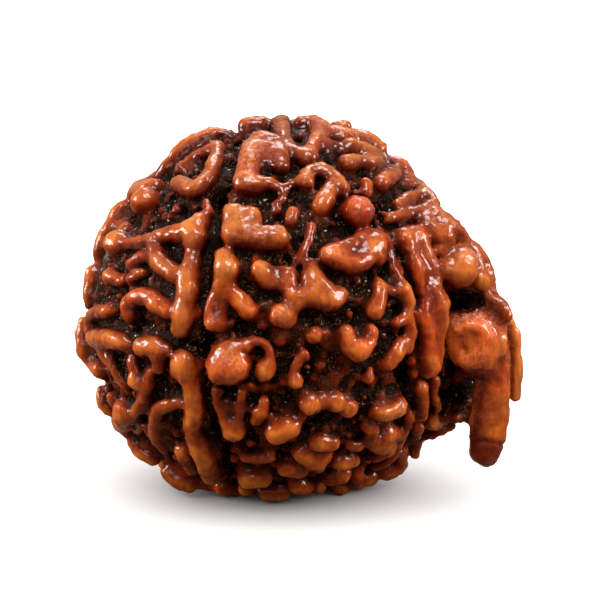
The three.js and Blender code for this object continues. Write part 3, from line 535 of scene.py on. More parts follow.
# distance of points from every ridge's crest at once
def crestDistance(points, ridges):
    a = np.vstack([r["crest"][:-1] if len(r["crest"]) > 1 else r["crest"] for r in ridges])
    b = np.vstack([r["crest"][1:] if len(r["crest"]) > 1 else r["crest"] for r in ridges])
    along = b[:, :3] - a[:, :3]
    length2 = np.maximum((along ** 2).sum(1), 1e-9)
    nearest = np.empty(len(points))
    for i, point in enumerate(points):
        away = point - a[:, :3]
        share = np.clip((away * along).sum(1) / length2, 0, 1)
        gap = np.linalg.norm(away - share[:, None] * along, axis=1)
        nearest[i] = (gap - (a[:, 3] + share * (b[:, 3] - a[:, 3]))).min()
    return nearest


# the drawn ridges under one turn, cut to the runs that land in the open
def repeatedRidges(turn, repeatable, standing):
    matrix = np.array(Euler([math.radians(angle) for angle in turn], "ZYX").to_matrix())
    crests = np.vstack([points[0] for points in repeatable.values()])
    radii = np.concatenate([points[2] for points in repeatable.values()])
    directions = crests / np.linalg.norm(crests, axis=1)[:, None] @ matrix.T
    feet = directions * smoothRadius(directions)[:, None]
    normals = floorNormals(feet)
    moved = feet + normals * (topHeight(radii, 1) - radii)[:, None]
    free = ((normals @ sight > -farSide["seenFromFront"])
            & (trunkDistance(moved) > farSide["trunkRootClearance"])
            & (furrowDistance(moved) > radii + farSide["furrowClearance"])
            & (crestDistance(moved, standing) > radii + farSide["ridgeSpacing"]))
    made, at = [], 0
    for name, points in repeatable.items():
        run = []
        for i in range(at, at + len(points[0]) + 1):
            if i < at + len(points[0]) and free[i]:
                run.append(i)
            elif run:
                made.append(makeRidge(name, (moved[run], normals[run], radii[run]), 1))
                run = []
        at += len(points[0])
    return made


def layRidges():
    left, centre = drawnPoints(leftLobe, 1), drawnPoints(centreLobe, 1)
    drawn = [(left, 1), (centre, 1), (drawnPoints(rightLobe, 1), 1)]
    for strokes, share in ((leftLobeLow, ridgeShape["lowShare"]), (centreLobeLow, ridgeShape["lowShare"]),
                           (trunkRidges, ridgeShape["trunkShare"]), (trunkLump, ridgeShape["lumpShare"])):
        drawn.append((drawnPoints(strokes, share), share))
    ridges = [makeRidge(name, points, share) for made, share in drawn for name, points in made.items()]
    repeatable = {name: points for name, points in {**left, **centre}.items()
                  if (points[1] @ sight < -farSide["facingFront"]).all()}
    for turn in farSide["passes"]:
        ridges += repeatedRidges(turn, repeatable, ridges)
    for ridge in ridges:
        crest, normals, radii = ridge["points"]
        radii = radii + ridgeShape["plump"]
        crest = crest - normals * ridgeShape["plump"]
        ridge["crest"] = smoothChain(crest, radii, ridgeShape["fineBeadsPerSpan"])
        wide = radii * ridgeShape["footShare"] + ridgeShape["footWiden"]
        if len(radii) == 1:
            wide = radii * ridgeShape["ballFootShare"]
        ridge["foot"] = smoothChain(ridge["feet"], wide, ridgeShape["fineBeadsPerSpan"])
    return ridges


# small low lumps that grow between the ridges
knobs = {
    "tries": 16000,
    "seed": 5,
    "radius": (0.18, 0.46),
    "height": (0.35, 0.85),
    "length": (0.0, 0.9),
    "gap": -0.12,  # from the ridges' crests, mm
    "near": 0.45,
    "alone": 0.9,
    "ownGap": -0.08,
    "furrowGap": 0.1,
    "blend": 0.3,
}


def layKnobs():
    rng = np.random.default_rng(knobs["seed"])
    directions = rng.normal(size=(knobs["tries"], 3))
    directions /= np.linalg.norm(directions, axis=1)[:, None]
    floor = directions * smoothRadius(directions)[:, None]
    radii = rng.uniform(*knobs["radius"], len(floor))
    floor = floor - floorNormals(floor) * smoothFloor(floor)[:, None]
    normals = floorNormals(floor)
    away = crestDistance(floor + normals * 0.9, ridges) - radii
    free = ((away > knobs["gap"]) & ((away < knobs["near"]) | (rng.uniform(size=len(floor)) < knobs["alone"]))
            & (furrowDistance(floor) > radii + knobs["furrowGap"])
            & (np.abs(smoothFloor(floor)) < 0.1))
    made, places, sizes = [], np.empty((0, 3)), np.empty(0)
    for i in np.flatnonzero(free):
        if len(places) and (np.linalg.norm(places - floor[i], axis=1) < sizes + radii[i] + knobs["ownGap"]).any():
            continue
        places, sizes = np.vstack([places, floor[i]]), np.append(sizes, radii[i])
        height = rng.uniform(*knobs["height"])
        ways = np.cross(normals[i], rng.normal(size=(2, 3)))
        ways *= (rng.uniform(*knobs["length"], 2) * radii[i] / np.linalg.norm(ways, axis=1))[:, None]
        middle = floor[i] + normals[i] * (height - radii[i])
        made.append(np.array([[*(middle + ways[0]), radii[i] * 0.75], [*middle, radii[i]],
                              [*(middle + ways[1]), radii[i] * 0.65]]))
    return made


ridges = layRidges()
knobChains = layKnobs()
print("ridges laid:", len(ridges), "knobs:", len(knobChains))


def deselectAll():
    bpy.ops.object.select_all(action="DESELECT")


def makeActive(piece):
    deselectAll()
    piece.select_set(True)
    bpy.context.view_layer.objects.active = piece


def applyModifier(piece, kind, **settings):
    makeActive(piece)
    modifier = piece.modifiers.new(kind.title(), kind)
    for name, value in settings.items():
        setattr(modifier, name, value)
    bpy.ops.object.modifier_apply(modifier=modifier.name)


def coordinates(piece):
    flat = np.empty(len(piece.data.vertices) * 3)
    piece.data.vertices.foreach_get("co", flat)
    return flat.reshape(-1, 3)


def vertexNormals(piece):
    flat = np.empty(len(piece.data.vertices) * 3)
    piece.data.vertex_normals.foreach_get("vector", flat)
    return flat.reshape(-1, 3)


def moveVertices(piece, points):
    piece.data.vertices.foreach_set("co", points.ravel())
    piece.data.update()


def storeAttribute(piece, name, values):
    attribute = piece.data.attributes.get(name) or piece.data.attributes.new(name, "FLOAT", "POINT")
    attribute.data.foreach_set("value", values.astype(np.float32))


def weightGroup(piece, name, values):
    group = piece.vertex_groups.new(name=name)
    steps = 20
    level = np.clip(np.round(values * steps), 0, steps).astype(int)
    for step in range(1, steps + 1):
        group.add(np.flatnonzero(level == step).tolist(), step / steps, "REPLACE")


fine = {
    "voxel": 0.15,
    "quickVoxel": 0.3,
    "settleSteps": 4,
    "settleShare": 0.9,
    "mostTriangles": 199000,
    "tubeSides": 3,
    "margin": 0.6,
}


# a ball whose vertices are moved out to the floor of the body
def makeBall():
    deselectAll()
    bpy.ops.mesh.primitive_ico_sphere_add(subdivisions=body["ballSubdivisions"], radius=1)
    ball = bpy.context.active_object
    directions = coordinates(ball)
    directions /= np.linalg.norm(directions, axis=1)[:, None]
    points = directions * smoothRadius(directions)[:, None]
    points += directions * furrowChange(points)[:, None]
    moveVertices(ball, points)
    return ball


def makeKnot():
    deselectAll()
    bpy.ops.mesh.primitive_ico_sphere_add(subdivisions=4, radius=body["footKnotRadius"],
                                          location=body["footKnot"])
    return bpy.context.active_object


# round tubes along chains of beads, as one curve with a bevel, closed by round ends
def makeTubes(name, chains):
    curve = bpy.data.curves.new(name, "CURVE")
    curve.dimensions = "3D"
    curve.bevel_depth = 1
    curve.bevel_resolution = fine["tubeSides"]
    curve.use_fill_caps = True
    for beads in chains:
        if len(beads) == 1:
            firstWay = lastWay = np.array([0, 0, 1.0])
        else:
            firstWay, lastWay = beads[1, :3] - beads[0, :3], beads[-1, :3] - beads[-2, :3]
        knots = []
        for turn in (80, 55, 28):
            knots.append(endBead(beads[0], -firstWay, turn))
        knots += list(beads)
        for turn in (28, 55, 80):
            knots.append(endBead(beads[-1], lastWay, turn))
        spline = curve.splines.new("POLY")
        spline.points.add(len(knots) - 1)
        spline.points.foreach_set("co", np.array([[*k[:3], 1] for k in knots]).ravel())
        spline.points.foreach_set("radius", [k[3] for k in knots])
    piece = bpy.data.objects.new(name, curve)
    scene.collection.objects.link(piece)
    makeActive(piece)
    bpy.ops.object.convert(target="MESH")
    return bpy.context.active_object


# a bead that rounds off the end of a tube
def endBead(bead, way, turn):
    way = way / max(np.linalg.norm(way), 1e-9)
    angle = math.radians(turn)
    return np.array([*(bead[:3] + way * bead[3] * math.sin(angle)), bead[3] * math.cos(angle)])


def joinAll(name, parts):
    deselectAll()
    for part in parts:
        part.select_set(True)
    bpy.context.view_layer.objects.active = parts[0]
    bpy.ops.object.join()
    joined = bpy.context.active_object
    joined.name = joined.data.name = name
    return joined


# The finished skin: the floor with every ridge flowing into it.
class Skin:
    def __init__(self, points):
        self.near = [self.closeTo(points, np.vstack([ridge["crest"], ridge["foot"]])) for ridge in ridges]
        self.nearKnobs = [self.closeTo(points, beads) for beads in knobChains]

    def closeTo(self, points, beads):
        room = beads[:, 3].max() + fine["margin"]
        inside = ((points > beads[:, :3].min(0) - room) & (points < beads[:, :3].max(0) + room)).all(1)
        return np.flatnonzero(inside)

    def distance(self, points):
        field = carvedFloor(points)
        for beads, near in zip(knobChains, self.nearKnobs):
            field[near] = smoothMin(field[near], chainDistance(points[near], beads), knobs["blend"])
        for ridge, near in zip(ridges, self.near):
            here = points[near]
            own = smoothMin(chainDistance(here, ridge["crest"]), chainDistance(here, ridge["foot"]),
                            ridgeShape["rootBlend"])
            field[near] = smoothMin(field[near], own, ridgeShape["blend"])
        return field - trunkWrinkles(points)


def settle(piece):
    points = coordinates(piece)
    skin = Skin(points)
    for step in range(fine["settleSteps"]):
        distance = skin.distance(points)
        points = points - vertexNormals(piece) * (distance * fine["settleShare"])[:, None]
        moveVertices(piece, points)
    print("settled to within", round(float(np.percentile(np.abs(skin.distance(points)), 99)), 3), "mm")


def makeSeed():
    tubes = makeTubes("tubes", [ridge[part] for ridge in ridges for part in ("crest", "foot")])
    cores = makeTubes("cores", trunkChains + strandChains)
    lumps = makeTubes("lumps", knobChains)
    seed = joinAll("rudrakshaHusk", [makeBall(), makeKnot(), cores, tubes, lumps])
    makeActive(seed)
    bpy.ops.object.transform_apply(location=True, rotation=True, scale=True)
    applyModifier(seed, "REMESH", mode="VOXEL", voxel_size=fine["voxel"])
    print("remeshed:", len(seed.data.vertices))
    settle(seed)
    return seed


seed = makeSeed()


detail = {
    "waveSize": 1.3,  # soft swells along the ridges, mm
    "waveHeight": 0.2,
    "dentSize": 0.42,
    "dentHeight": 0.09,
    "crinkleSize": 0.45,  # on the ridges with crinkles and painted sheen, and on the trunk's limb
    "crinkleHeight": 0.22,
    "limbCrinkles": 0.6,
    "limbTone": 0.7,
    "creaseSize": 0.3,
    "creaseHeight": 0.1,
    "creaseStretch": (1.0, 1.0, 2.5),
    "hollowSize": 1.6,  # the uneven floor of the valleys, mm
    "hollowHeight": 0.5,
    "crumbSize": 0.6,
    "crumbHeight": 0.3,
    "grainSize": 0.3,
    "grainHeight": 0.25,
    "valleyTop": 0.5,
    "valleyFloor": 0.12,
    "limbRelief": 0.75,  # the trunk's own skin counts as this much relief
    "lumpRelief": 0.5,
    "dipShade": 0.5,  # mm of dip that turn the skin as dark as a valley
    "swellSteps": 30,
    "swellHeight": 0.45,
    "upwardSteps": 6,
}


def cloudTexture(name, size, depth):
    texture = bpy.data.textures.new(name, "CLOUDS")
    texture.noise_scale = size
    texture.noise_depth = depth
    return texture


# how much each point belongs to the hanging part of the trunk
def limbShare(points):
    near = np.clip(1.6 - chainDistance(points, trunkChains[1]), 0, 1)
    below = (photoView["bodyPixel"][1] - 318) / photoView["pixelsPerMm"] - points @ pictureUp
    return near * np.clip(below / 1.0 + 0.5, 0, 1)


# the dark end of the trunk
def tipShare(points):
    below = (photoView["bodyPixel"][1] - 437) / photoView["pixelsPerMm"] - points @ pictureUp
    return limbShare(points) * np.clip(below / 0.4, 0, 1)


# how much each point belongs to the trunk's skin, from its shoulder to its tip
def skinShare(points):
    away = np.minimum(chainDistance(points, trunkChains[0]), chainDistance(points, trunkChains[1]))
    return np.clip((1.3 - away) / 0.7, 0, 1)


# share of the full ridge height at which each point stands over the floor
def reliefOf(points):
    skin = skinShare(points) * np.clip(1 - dipDepth(points) / detail["dipShade"], 0, 1)
    relief = smoothFloor(points) / ridgeShape["height"] + skin * detail["limbRelief"]
    for ridge in ridges:
        if ridge["name"] in trunkLump:
            relief = relief + detail["lumpRelief"] * np.exp(-np.maximum(chainDistance(points, ridge["crest"]), 0) / 0.2)
    return np.clip(relief, -1, 1.5)


# the dark inner side of the hanging trunk, but not its strand or its tip
def shadeShare(points):
    right = points @ pictureRight * photoView["pixelsPerMm"] + photoView["bodyPixel"][0]
    inner = limbShare(points) * np.clip((486 - right) / 12, 0, 1) * (1 - tipShare(points))
    strand = np.exp(-np.maximum(chainDistance(points, strandChains[1]), 0) / 0.08)
    return inner * (1 - 0.7 * strand)


# values averaged again and again with those of the joined vertices
def spread(piece, values, steps):
    edges = np.empty(len(piece.data.edges) * 2, np.int32)
    piece.data.edges.foreach_get("vertices", edges)
    a, b = edges.reshape(-1, 2).T
    count = np.bincount(a, minlength=len(values)) + np.bincount(b, minlength=len(values)) + 1.0
    for step in range(steps):
        for axis in range(values.shape[1]):
            column = values[:, axis].copy()
            column += np.bincount(a, values[b, axis], len(values))
            column += np.bincount(b, values[a, axis], len(values))
            values[:, axis] = column / count
    return values


# tones from the nearest ridges: some are redder, darker or more tan than the rest
toneOf = {
    "darkBar": -1.0, "loopWeb": -1.0, "loopLeft": -0.4, "loopRight": -0.4, "middleBar": -0.6,
    "ring": 0.3, "core": 0.4, "redBead": 0.1, "knob": 0.4, "knobLow": 0.2, "knobLeft": -0.2, "slopeOuter": 0.6, "slopeInner": 0.6, "slopeEdge": 0.5,
    "shoulderEdge": 0.2, "webPlate": 0.5, "webRim": 0.5, "webInner": -0.2, "lowerRim": 0.6,
    "tanStrand": 0.8, "furrowVertical": 0.2, "saddleTop": -0.3, "saddleFoot": -0.4, "saddleLeft": -0.1,
    "blockLeft": -0.1, "hook": -0.5, "hookArm": -0.5, "topArc": -0.3, "brownBlock": -0.6,
    "smallBead": -0.7, "upperEdge": -0.5, "rightPlate": 0.1, "joiningPlateau": 0.4, "bigHeadLeft": 0.1, "bigHeadRight": 0.1,
    "lowerBean": 0.3, "caterpillar": 0.0, "rightBean": 0.1, "longDiagonal": 0.5,
}
# ridges with crinkles in the skin and a painted sheen of pale flecks on them
crinklesAndPaintedSheenOf = {
    "ring": 1.0, "core": 1.0, "slopeOuter": 0.9, "slopeInner": 0.9, "bigHeadLeft": 0.7, "bigHeadRight": 0.8,
    "rightBean": 0.7, "lipLower": 0.5, "heart": 0.5, "blockLeft": 0.5, "blockRight": 0.8, "ribLeft": 0.5,
    "ribRight": 0.7, "ribFilling": 0.7, "knob": 0.6, "topFold": 0.8, "saddleTop": 0.4, "shoulderEdge": 0.6,
}
redOf = {"ring": 0.6, "core": 0.6, "redBead": 1.0, "bigHeadLeft": 0.5, "bigHeadRight": 0.5, "ribLeft": 0.5, "lowerRibLeft": 0.5, "heart": 0.4, "lipLower": 0.4}


# tone, redness and share of crinkles and painted sheen of each point, from the ridges nearest to it
def ridgeLooks(points):
    rng = np.random.default_rng(7)
    looks = np.zeros((3, len(points)))
    weight = np.full(len(points), 1e-6)
    for ridge, near in zip(ridges, Skin(points).near):
        close = np.exp(-np.maximum(chainDistance(points[near], ridge["crest"]), 0) / 0.15)
        own = (toneOf.get(ridge["name"], rng.uniform(-0.8, 0.8)), redOf.get(ridge["name"], rng.uniform(-0.3, 0.4)),
               crinklesAndPaintedSheenOf.get(ridge["name"], rng.uniform(0.0, 0.5)))
        looks[:, near] += np.outer(own, close)
        weight[near] += close
    return looks / weight


# an empty that stretches a texture upwards
def makeGuide():
    deselectAll()
    bpy.ops.object.empty_add()
    guide = bpy.context.active_object
    guide.scale = detail["creaseStretch"]
    bpy.context.view_layer.update()
    return guide


def addDetail(piece):
    relief = reliefOf(coordinates(piece))
    top, floor = detail["valleyTop"], detail["valleyFloor"]
    valley = np.clip((top - relief) / (top - floor), 0, 1)
    weightGroup(piece, "valley", valley)
    weightGroup(piece, "ridge", 1 - valley)
    crinklesAndPaintedSheen = ridgeLooks(coordinates(piece))[2]
    crinkled = np.maximum(crinklesAndPaintedSheen, detail["limbCrinkles"] * limbShare(coordinates(piece)))
    weightGroup(piece, "crinkled", (1 - valley) * crinkled)
    applyModifier(piece, "DISPLACE", texture=cloudTexture("waves", detail["waveSize"], 1),
                  strength=detail["waveHeight"], vertex_group="ridge")
    applyModifier(piece, "DISPLACE", texture=cloudTexture("dents", detail["dentSize"], 1),
                  strength=detail["dentHeight"], vertex_group="ridge")
    applyModifier(piece, "DISPLACE", texture=cloudTexture("crinkles", detail["crinkleSize"], 1),
                  strength=detail["crinkleHeight"], vertex_group="crinkled")
    guide = makeGuide()
    applyModifier(piece, "DISPLACE", texture=cloudTexture("creases", detail["creaseSize"], 1),
                  texture_coords="OBJECT", texture_coords_object=guide,
                  strength=detail["creaseHeight"], vertex_group="ridge")
    bpy.data.objects.remove(guide)
    applyModifier(piece, "DISPLACE", texture=cloudTexture("hollows", detail["hollowSize"], 1),
                  strength=detail["hollowHeight"], vertex_group="valley", mid_level=0.6)
    crumbs = bpy.data.textures.new("crumbs", "VORONOI")
    crumbs.noise_scale = detail["crumbSize"]
    applyModifier(piece, "DISPLACE", texture=crumbs, strength=-detail["crumbHeight"],
                  vertex_group="valley", mid_level=0.4)
    applyModifier(piece, "DISPLACE", texture=cloudTexture("grain", detail["grainSize"], 2),
                  strength=detail["grainHeight"], vertex_group="valley")


def thin(piece):
    triangles = sum(len(face.vertices) - 2 for face in piece.data.polygons)
    if triangles > fine["mostTriangles"]:
        applyModifier(piece, "DECIMATE", ratio=fine["mostTriangles"] / triangles)


# the flat spot: everything below one level is cut away
def cutFlatSpot(piece):
    level = coordinates(piece)[:, 2].min() + body["flatSpotDepth"]
    makeActive(piece)
    bpy.ops.object.mode_set(mode="EDIT")
    bpy.ops.mesh.select_all(action="SELECT")
    bpy.ops.mesh.bisect(plane_co=(0, 0, level), plane_no=(0, 0, 1), use_fill=True, clear_inner=True)
    bpy.ops.object.mode_set(mode="OBJECT")


def storeLooks(piece):
    points = coordinates(piece)
    normals = vertexNormals(piece)
    relief = reliefOf(points)
    mean = spread(piece, points.copy(), detail["swellSteps"])
    swell = ((points - mean) * normals).sum(1) / detail["swellHeight"]
    tone, redness, crinklesAndPaintedSheen = ridgeLooks(points)
    limb = limbShare(points) * (1 - tipShare(points))
    tone = np.maximum(tone, detail["limbTone"] * limb)
    storeAttribute(piece, "relief", relief)
    storeAttribute(piece, "swell", np.clip(swell, -1, 1))
    storeAttribute(piece, "tone", tone)
    storeAttribute(piece, "redness", redness)
    # where crinkled ridges and the limb get the painted sheen of pale flecks
    storeAttribute(piece, "crinklesAndPaintedSheen", np.maximum(crinklesAndPaintedSheen, 0.5 * limb))
    storeAttribute(piece, "tip", tipShare(points))
    storeAttribute(piece, "shade", shadeShare(points))
    upward = spread(piece, normals.copy(), detail["upwardSteps"])[:, 2]
    storeAttribute(piece, "upward", upward)
    storeAttribute(piece, "slope", upward - floorNormals(points)[:, 2])


# the remesh leaves small closed hollows inside, which are dropped
def keepLargest(piece):
    makeActive(piece)
    bpy.ops.mesh.separate(type="LOOSE")
    parts = list(bpy.context.selected_objects)
    largest = max(parts, key=lambda part: len(part.data.vertices))
    name = piece.name
    for part in parts:
        if part is not largest:
            bpy.data.objects.remove(part)
    largest.name = largest.data.name = name
    return largest


# into the frame: metres, with the middle of the box's bottom at the origin
def setIntoFrame(piece):
    points = coordinates(piece)
    low, high = points.min(0), points.max(0)
    cadSize = np.array(cadHigh - cadLow)
    scale = min((cadSize / (high - low)).min(), 0.001)
    foot = np.array([(low[0] + high[0]) / 2, (low[1] + high[1]) / 2, low[2]])
    moveVertices(piece, (points - foot) * scale)
    return scale, -foot * scale


addDetail(seed)
thin(seed)
cutFlatSpot(seed)
seed = keepLargest(seed)
storeLooks(seed)
scale, bodyMiddle = setIntoFrame(seed)
makeActive(seed)
bpy.ops.object.shade_smooth()
print("seed finished:", len(seed.data.polygons), "faces, scale", round(scale * 1000, 5))


def newMaterial(name):
    material = bpy.data.materials.new(name)
    material.use_nodes = True
    tree = material.node_tree
    return material, tree, tree.nodes["Principled BSDF"]


def addNode(tree, kind, inputs=(), **settings):
    node = tree.nodes.new(kind)
    for name, value in settings.items():
        setattr(node, name, value)
    for name, value in dict(inputs).items():
        if isinstance(value, bpy.types.NodeSocket):
            tree.links.new(value, node.inputs[name])
        else:
            node.inputs[name].default_value = value
    return node


def attribute(tree, name):
    return addNode(tree, "ShaderNodeAttribute", attribute_name=name).outputs["Fac"]


def calculate(tree, operation, a, b=0.0, c=0.0):
    return addNode(tree, "ShaderNodeMath", {0: a, 1: b, 2: c}, operation=operation).outputs[0]


def remap(tree, value, fromMin, fromMax, toMin=0.0, toMax=1.0):
    return addNode(tree, "ShaderNodeMapRange", {"Value": value, "From Min": fromMin, "From Max": fromMax,
                                                "To Min": toMin, "To Max": toMax}).outputs[0]


def ramp(tree, value, stops):
    node = addNode(tree, "ShaderNodeValToRGB", {"Fac": value})
    elements = node.color_ramp.elements
    while len(elements) < len(stops):
        elements.new(0.5)
    for element, (place, colour) in zip(elements, stops):
        element.position = place
        element.color = (*colour, 1)
    return node.outputs["Color"]


def mixColour(tree, share, a, b, blend="MIX"):
    node = addNode(tree, "ShaderNodeMix", data_type="RGBA", blend_type=blend)
    for socket, value in ((0, share), (6, a), (7, b)):
        if isinstance(value, bpy.types.NodeSocket):
            tree.links.new(value, node.inputs[socket])
        elif socket:
            node.inputs[socket].default_value = (*value, 1)
        else:
            node.inputs[socket].default_value = value
    return node.outputs[2]


def noise(tree, place, size, detailLevel=3.0, roughness=0.5):
    return addNode(tree, "ShaderNodeTexNoise", {"Vector": place, "Scale": 1 / size, "Detail": detailLevel,
                                                "Roughness": roughness}).outputs["Fac"]


# colours are linear; the ramp runs from the valley floor to the top of the ridges
husk = {
    "stops": [
        (0.0, (0.0015, 0.0007, 0.0004)),
        (0.15, (0.008, 0.002, 0.001)),
        (0.26, (0.038, 0.005, 0.0016)),
        (0.42, (0.1, 0.01, 0.0022)),
        (0.64, (0.21, 0.023, 0.0032)),
        (0.86, (0.36, 0.064, 0.0065)),
        (1.0, (0.52, 0.135, 0.02)),
    ],
    "darkTone": (0.55, 0.42, 0.5),
    "paleTone": (1.3, 1.5, 1.7),
    "redTone": (1.15, 0.6, 0.45),
    "upper": (0.8, 1.1, 1.8),  # painted sheen: the skin that faces up is turned browner and pinker, standing in for the reflection of the bright surroundings
    # painted glow: amber patches on the skin that faces sideways and down, standing in for light shining through the
    # husk
    "paintedGlow": (1.2, 1.35, 0.6),
    "stain": (0.58, 0.38, 0.3),
    "paintedUndersideShade": (0.4, 0.2, 0.16),  # painted shade on the lower side of each ridge
    "streak": (0.1, 0.016, 0.01),
    # painted highlights: the colour of the pale flecks on the crinkled ridges
    "crinklesAndPaintedSheen": (0.85, 0.42, 0.33),
    "bronze": (0.22, 0.1, 0.035),
    "gleam": (1.0, 0.45, 0.25, 1.0),
}


def makeHusk():
    material, tree, shader = newMaterial("oiledHusk")
    place = addNode(tree, "ShaderNodeTexCoord").outputs["Object"]
    millimetres = addNode(tree, "ShaderNodeVectorMath", {0: place, 1: (1000, 1000, 1000)},
                          operation="MULTIPLY").outputs[0]
    relief, swell = attribute(tree, "relief"), attribute(tree, "swell")
    tone, tip = attribute(tree, "tone"), attribute(tree, "tip")
    broad = noise(tree, millimetres, 1.6, 2.0)
    small = noise(tree, millimetres, 0.45, 4.0, 0.6)
    # the swell paints crests lighter and creases darker: painted light and painted shade
    height = calculate(tree, "MULTIPLY_ADD", swell, 0.45, relief)
    height = calculate(tree, "MULTIPLY_ADD", broad, 0.6, calculate(tree, "SUBTRACT", height, 0.3))
    height = calculate(tree, "MULTIPLY_ADD", small, 0.3, calculate(tree, "SUBTRACT", height, 0.13))
    height = calculate(tree, "MULTIPLY_ADD", tip, -0.4, height)
    height = calculate(tree, "MULTIPLY_ADD", attribute(tree, "shade"), -0.55, height)
    colour = ramp(tree, remap(tree, height, 0.0, 1.2), husk["stops"])
    colour = mixColour(tree, remap(tree, tone, 0.0, -1.0, 0.0, 0.6), colour,
                       mixColour(tree, 1.0, colour, husk["darkTone"], "MULTIPLY"))
    colour = mixColour(tree, remap(tree, tone, 0.0, 1.0, 0.0, 0.5), colour,
                       mixColour(tree, 1.0, colour, husk["paleTone"], "MULTIPLY"))
    colour = mixColour(tree, remap(tree, attribute(tree, "redness"), 0.0, 1.0), colour,
                       mixColour(tree, 1.0, colour, husk["redTone"], "MULTIPLY"))
    stretched = addNode(tree, "ShaderNodeVectorMath", {0: millimetres, 1: (2.2, 2.2, 0.6)},
                        operation="MULTIPLY").outputs[0]
    upward = attribute(tree, "upward")
    # painted sheen: patches of the skin that faces up are turned browner and pinker
    upper = calculate(tree, "MULTIPLY", remap(tree, upward, 0.3, 0.85), remap(tree, small, 0.35, 0.6, 0.4, 1.0))
    colour = mixColour(tree, upper, colour, mixColour(tree, 1.0, colour, husk["upper"], "MULTIPLY"))
    # painted glow in amber patches, strongest where the skin faces sideways and down
    paintedGlow = remap(tree, noise(tree, millimetres, 1.0, 2.0), 0.48, 0.62, 0.0, 0.7)
    paintedGlow = calculate(tree, "MULTIPLY", paintedGlow, remap(tree, upward, 0.6, 0.1, 0.0, 0.8))
    stains = remap(tree, noise(tree, millimetres, 2.0, 3.0), 0.52, 0.66, 0.0, 0.8)
    colour = mixColour(tree, stains, colour, mixColour(tree, 1.0, colour, husk["stain"], "MULTIPLY"))
    # painted shade: the lower side of each ridge is darkened
    under = remap(tree, attribute(tree, "slope"), 0.0, -0.7, 0.0, 0.95)
    colour = mixColour(tree, under, colour, mixColour(tree, 1.0, colour, husk["paintedUndersideShade"], "MULTIPLY"))
    colour = mixColour(tree, paintedGlow, colour, mixColour(tree, 1.0, colour, husk["paintedGlow"], "MULTIPLY"))
    streaks = remap(tree, noise(tree, stretched, 1.1, 3.0, 0.55), 0.5, 0.68)
    streaks = calculate(tree, "MULTIPLY", streaks, remap(tree, relief, 0.5, 0.95, 0.0, 0.5))
    colour = mixColour(tree, streaks, colour, husk["streak"])
    # painted highlights: a net of pale pinkish flecks on the tops of crinkled ridges, stronger where the skin faces up
    paintedSheenNet = calculate(tree, "ABSOLUTE", calculate(tree, "SUBTRACT", noise(tree, millimetres, 0.42, 4.0, 0.62), 0.5))
    paintedSheenNet = calculate(tree, "MULTIPLY", remap(tree, paintedSheenNet, 0.06, 0.0), remap(tree, relief, 0.6, 0.9))
    paintedSheenNet = calculate(tree, "MULTIPLY", paintedSheenNet, remap(tree, noise(tree, millimetres, 1.8, 1.0), 0.4, 0.6, 0.3, 1.0))
    paintedSheenNet = calculate(tree, "MULTIPLY", paintedSheenNet, remap(tree, upward, 0.0, 0.6, 0.15, 0.65))
    colour = mixColour(tree, calculate(tree, "MULTIPLY", paintedSheenNet, attribute(tree, "crinklesAndPaintedSheen")), colour, husk["crinklesAndPaintedSheen"])
    valley = remap(tree, relief, 0.5, 0.15)
    grain = noise(tree, millimetres, 0.2, 3.0, 0.65)
    patches = remap(tree, noise(tree, millimetres, 1.1, 1.0), 0.42, 0.58)
    specks = remap(tree, noise(tree, millimetres, 0.17, 2.0, 0.6), 0.6, 0.66)
    specks = calculate(tree, "MULTIPLY", calculate(tree, "MULTIPLY", specks, patches), valley)
    colour = mixColour(tree, specks, colour, husk["bronze"])
    tree.links.new(colour, shader.inputs["Base Color"])

    pores = noise(tree, stretched, 0.5, 4.0, 0.62)
    wrinkled = remap(tree, noise(tree, millimetres, 2.2, 1.0), 0.4, 0.6, 0.05, 0.13)
    bumpHeight = calculate(tree, "MULTIPLY", grain, calculate(tree, "MULTIPLY_ADD", valley, 0.2, 0.01))
    bumpHeight = calculate(tree, "MULTIPLY_ADD", pores, wrinkled, bumpHeight)
    bump = addNode(tree, "ShaderNodeBump", {"Height": bumpHeight, "Distance": 0.001, "Strength": 1.0})
    tree.links.new(bump.outputs[0], shader.inputs["Normal"])
    rough = calculate(tree, "MULTIPLY_ADD", small, 0.25, 0.1)
    tree.links.new(rough, shader.inputs["Roughness"])
    broken = remap(tree, noise(tree, millimetres, 0.28, 3.0, 0.6), 0.43, 0.55, 0.1, 1.0)
    coat = calculate(tree, "MULTIPLY", broken, remap(tree, relief, 0.3, 0.55, 0.0, 1.0))
    glints = remap(tree, noise(tree, millimetres, 0.22, 1.0), 0.62, 0.66)
    coat = calculate(tree, "MAXIMUM", coat, calculate(tree, "MULTIPLY", glints, valley))
    tree.links.new(coat, shader.inputs["Coat Weight"])
    shader.inputs["Specular IOR Level"].default_value = 0.12
    shader.inputs["Specular Tint"].default_value = husk["gleam"]
    shader.inputs["Coat Roughness"].default_value = 0.1
    shader.inputs["Subsurface Weight"].default_value = 0.35
    shader.inputs["Subsurface Radius"].default_value = (1.0, 0.3, 0.08)
    shader.inputs["Subsurface Scale"].default_value = 0.0006
    return material


seed.data.materials.clear()
seed.data.materials.append(makeHusk())
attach(seed, "root")
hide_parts("rudraksha_seed")
print("husk finished")


studio = {
    "floorSize": 3.0,
    "floorColour": (0.6, 0.595, 0.59),
    "floorBounce": (0.13, 0.085, 0.055),  # what the seed sees of the floor
    "worldColour": (1.0, 1.0, 1.0),
    "worldForSeed": (1.0, 0.8, 0.66),
    "worldStrength": 0.24,
    "worldInGloss": 0.3,
}


# the camera sees a whiter floor and backdrop than the seed does
def cameraShare(tree):
    return addNode(tree, "ShaderNodeLightPath").outputs["Is Camera Ray"]


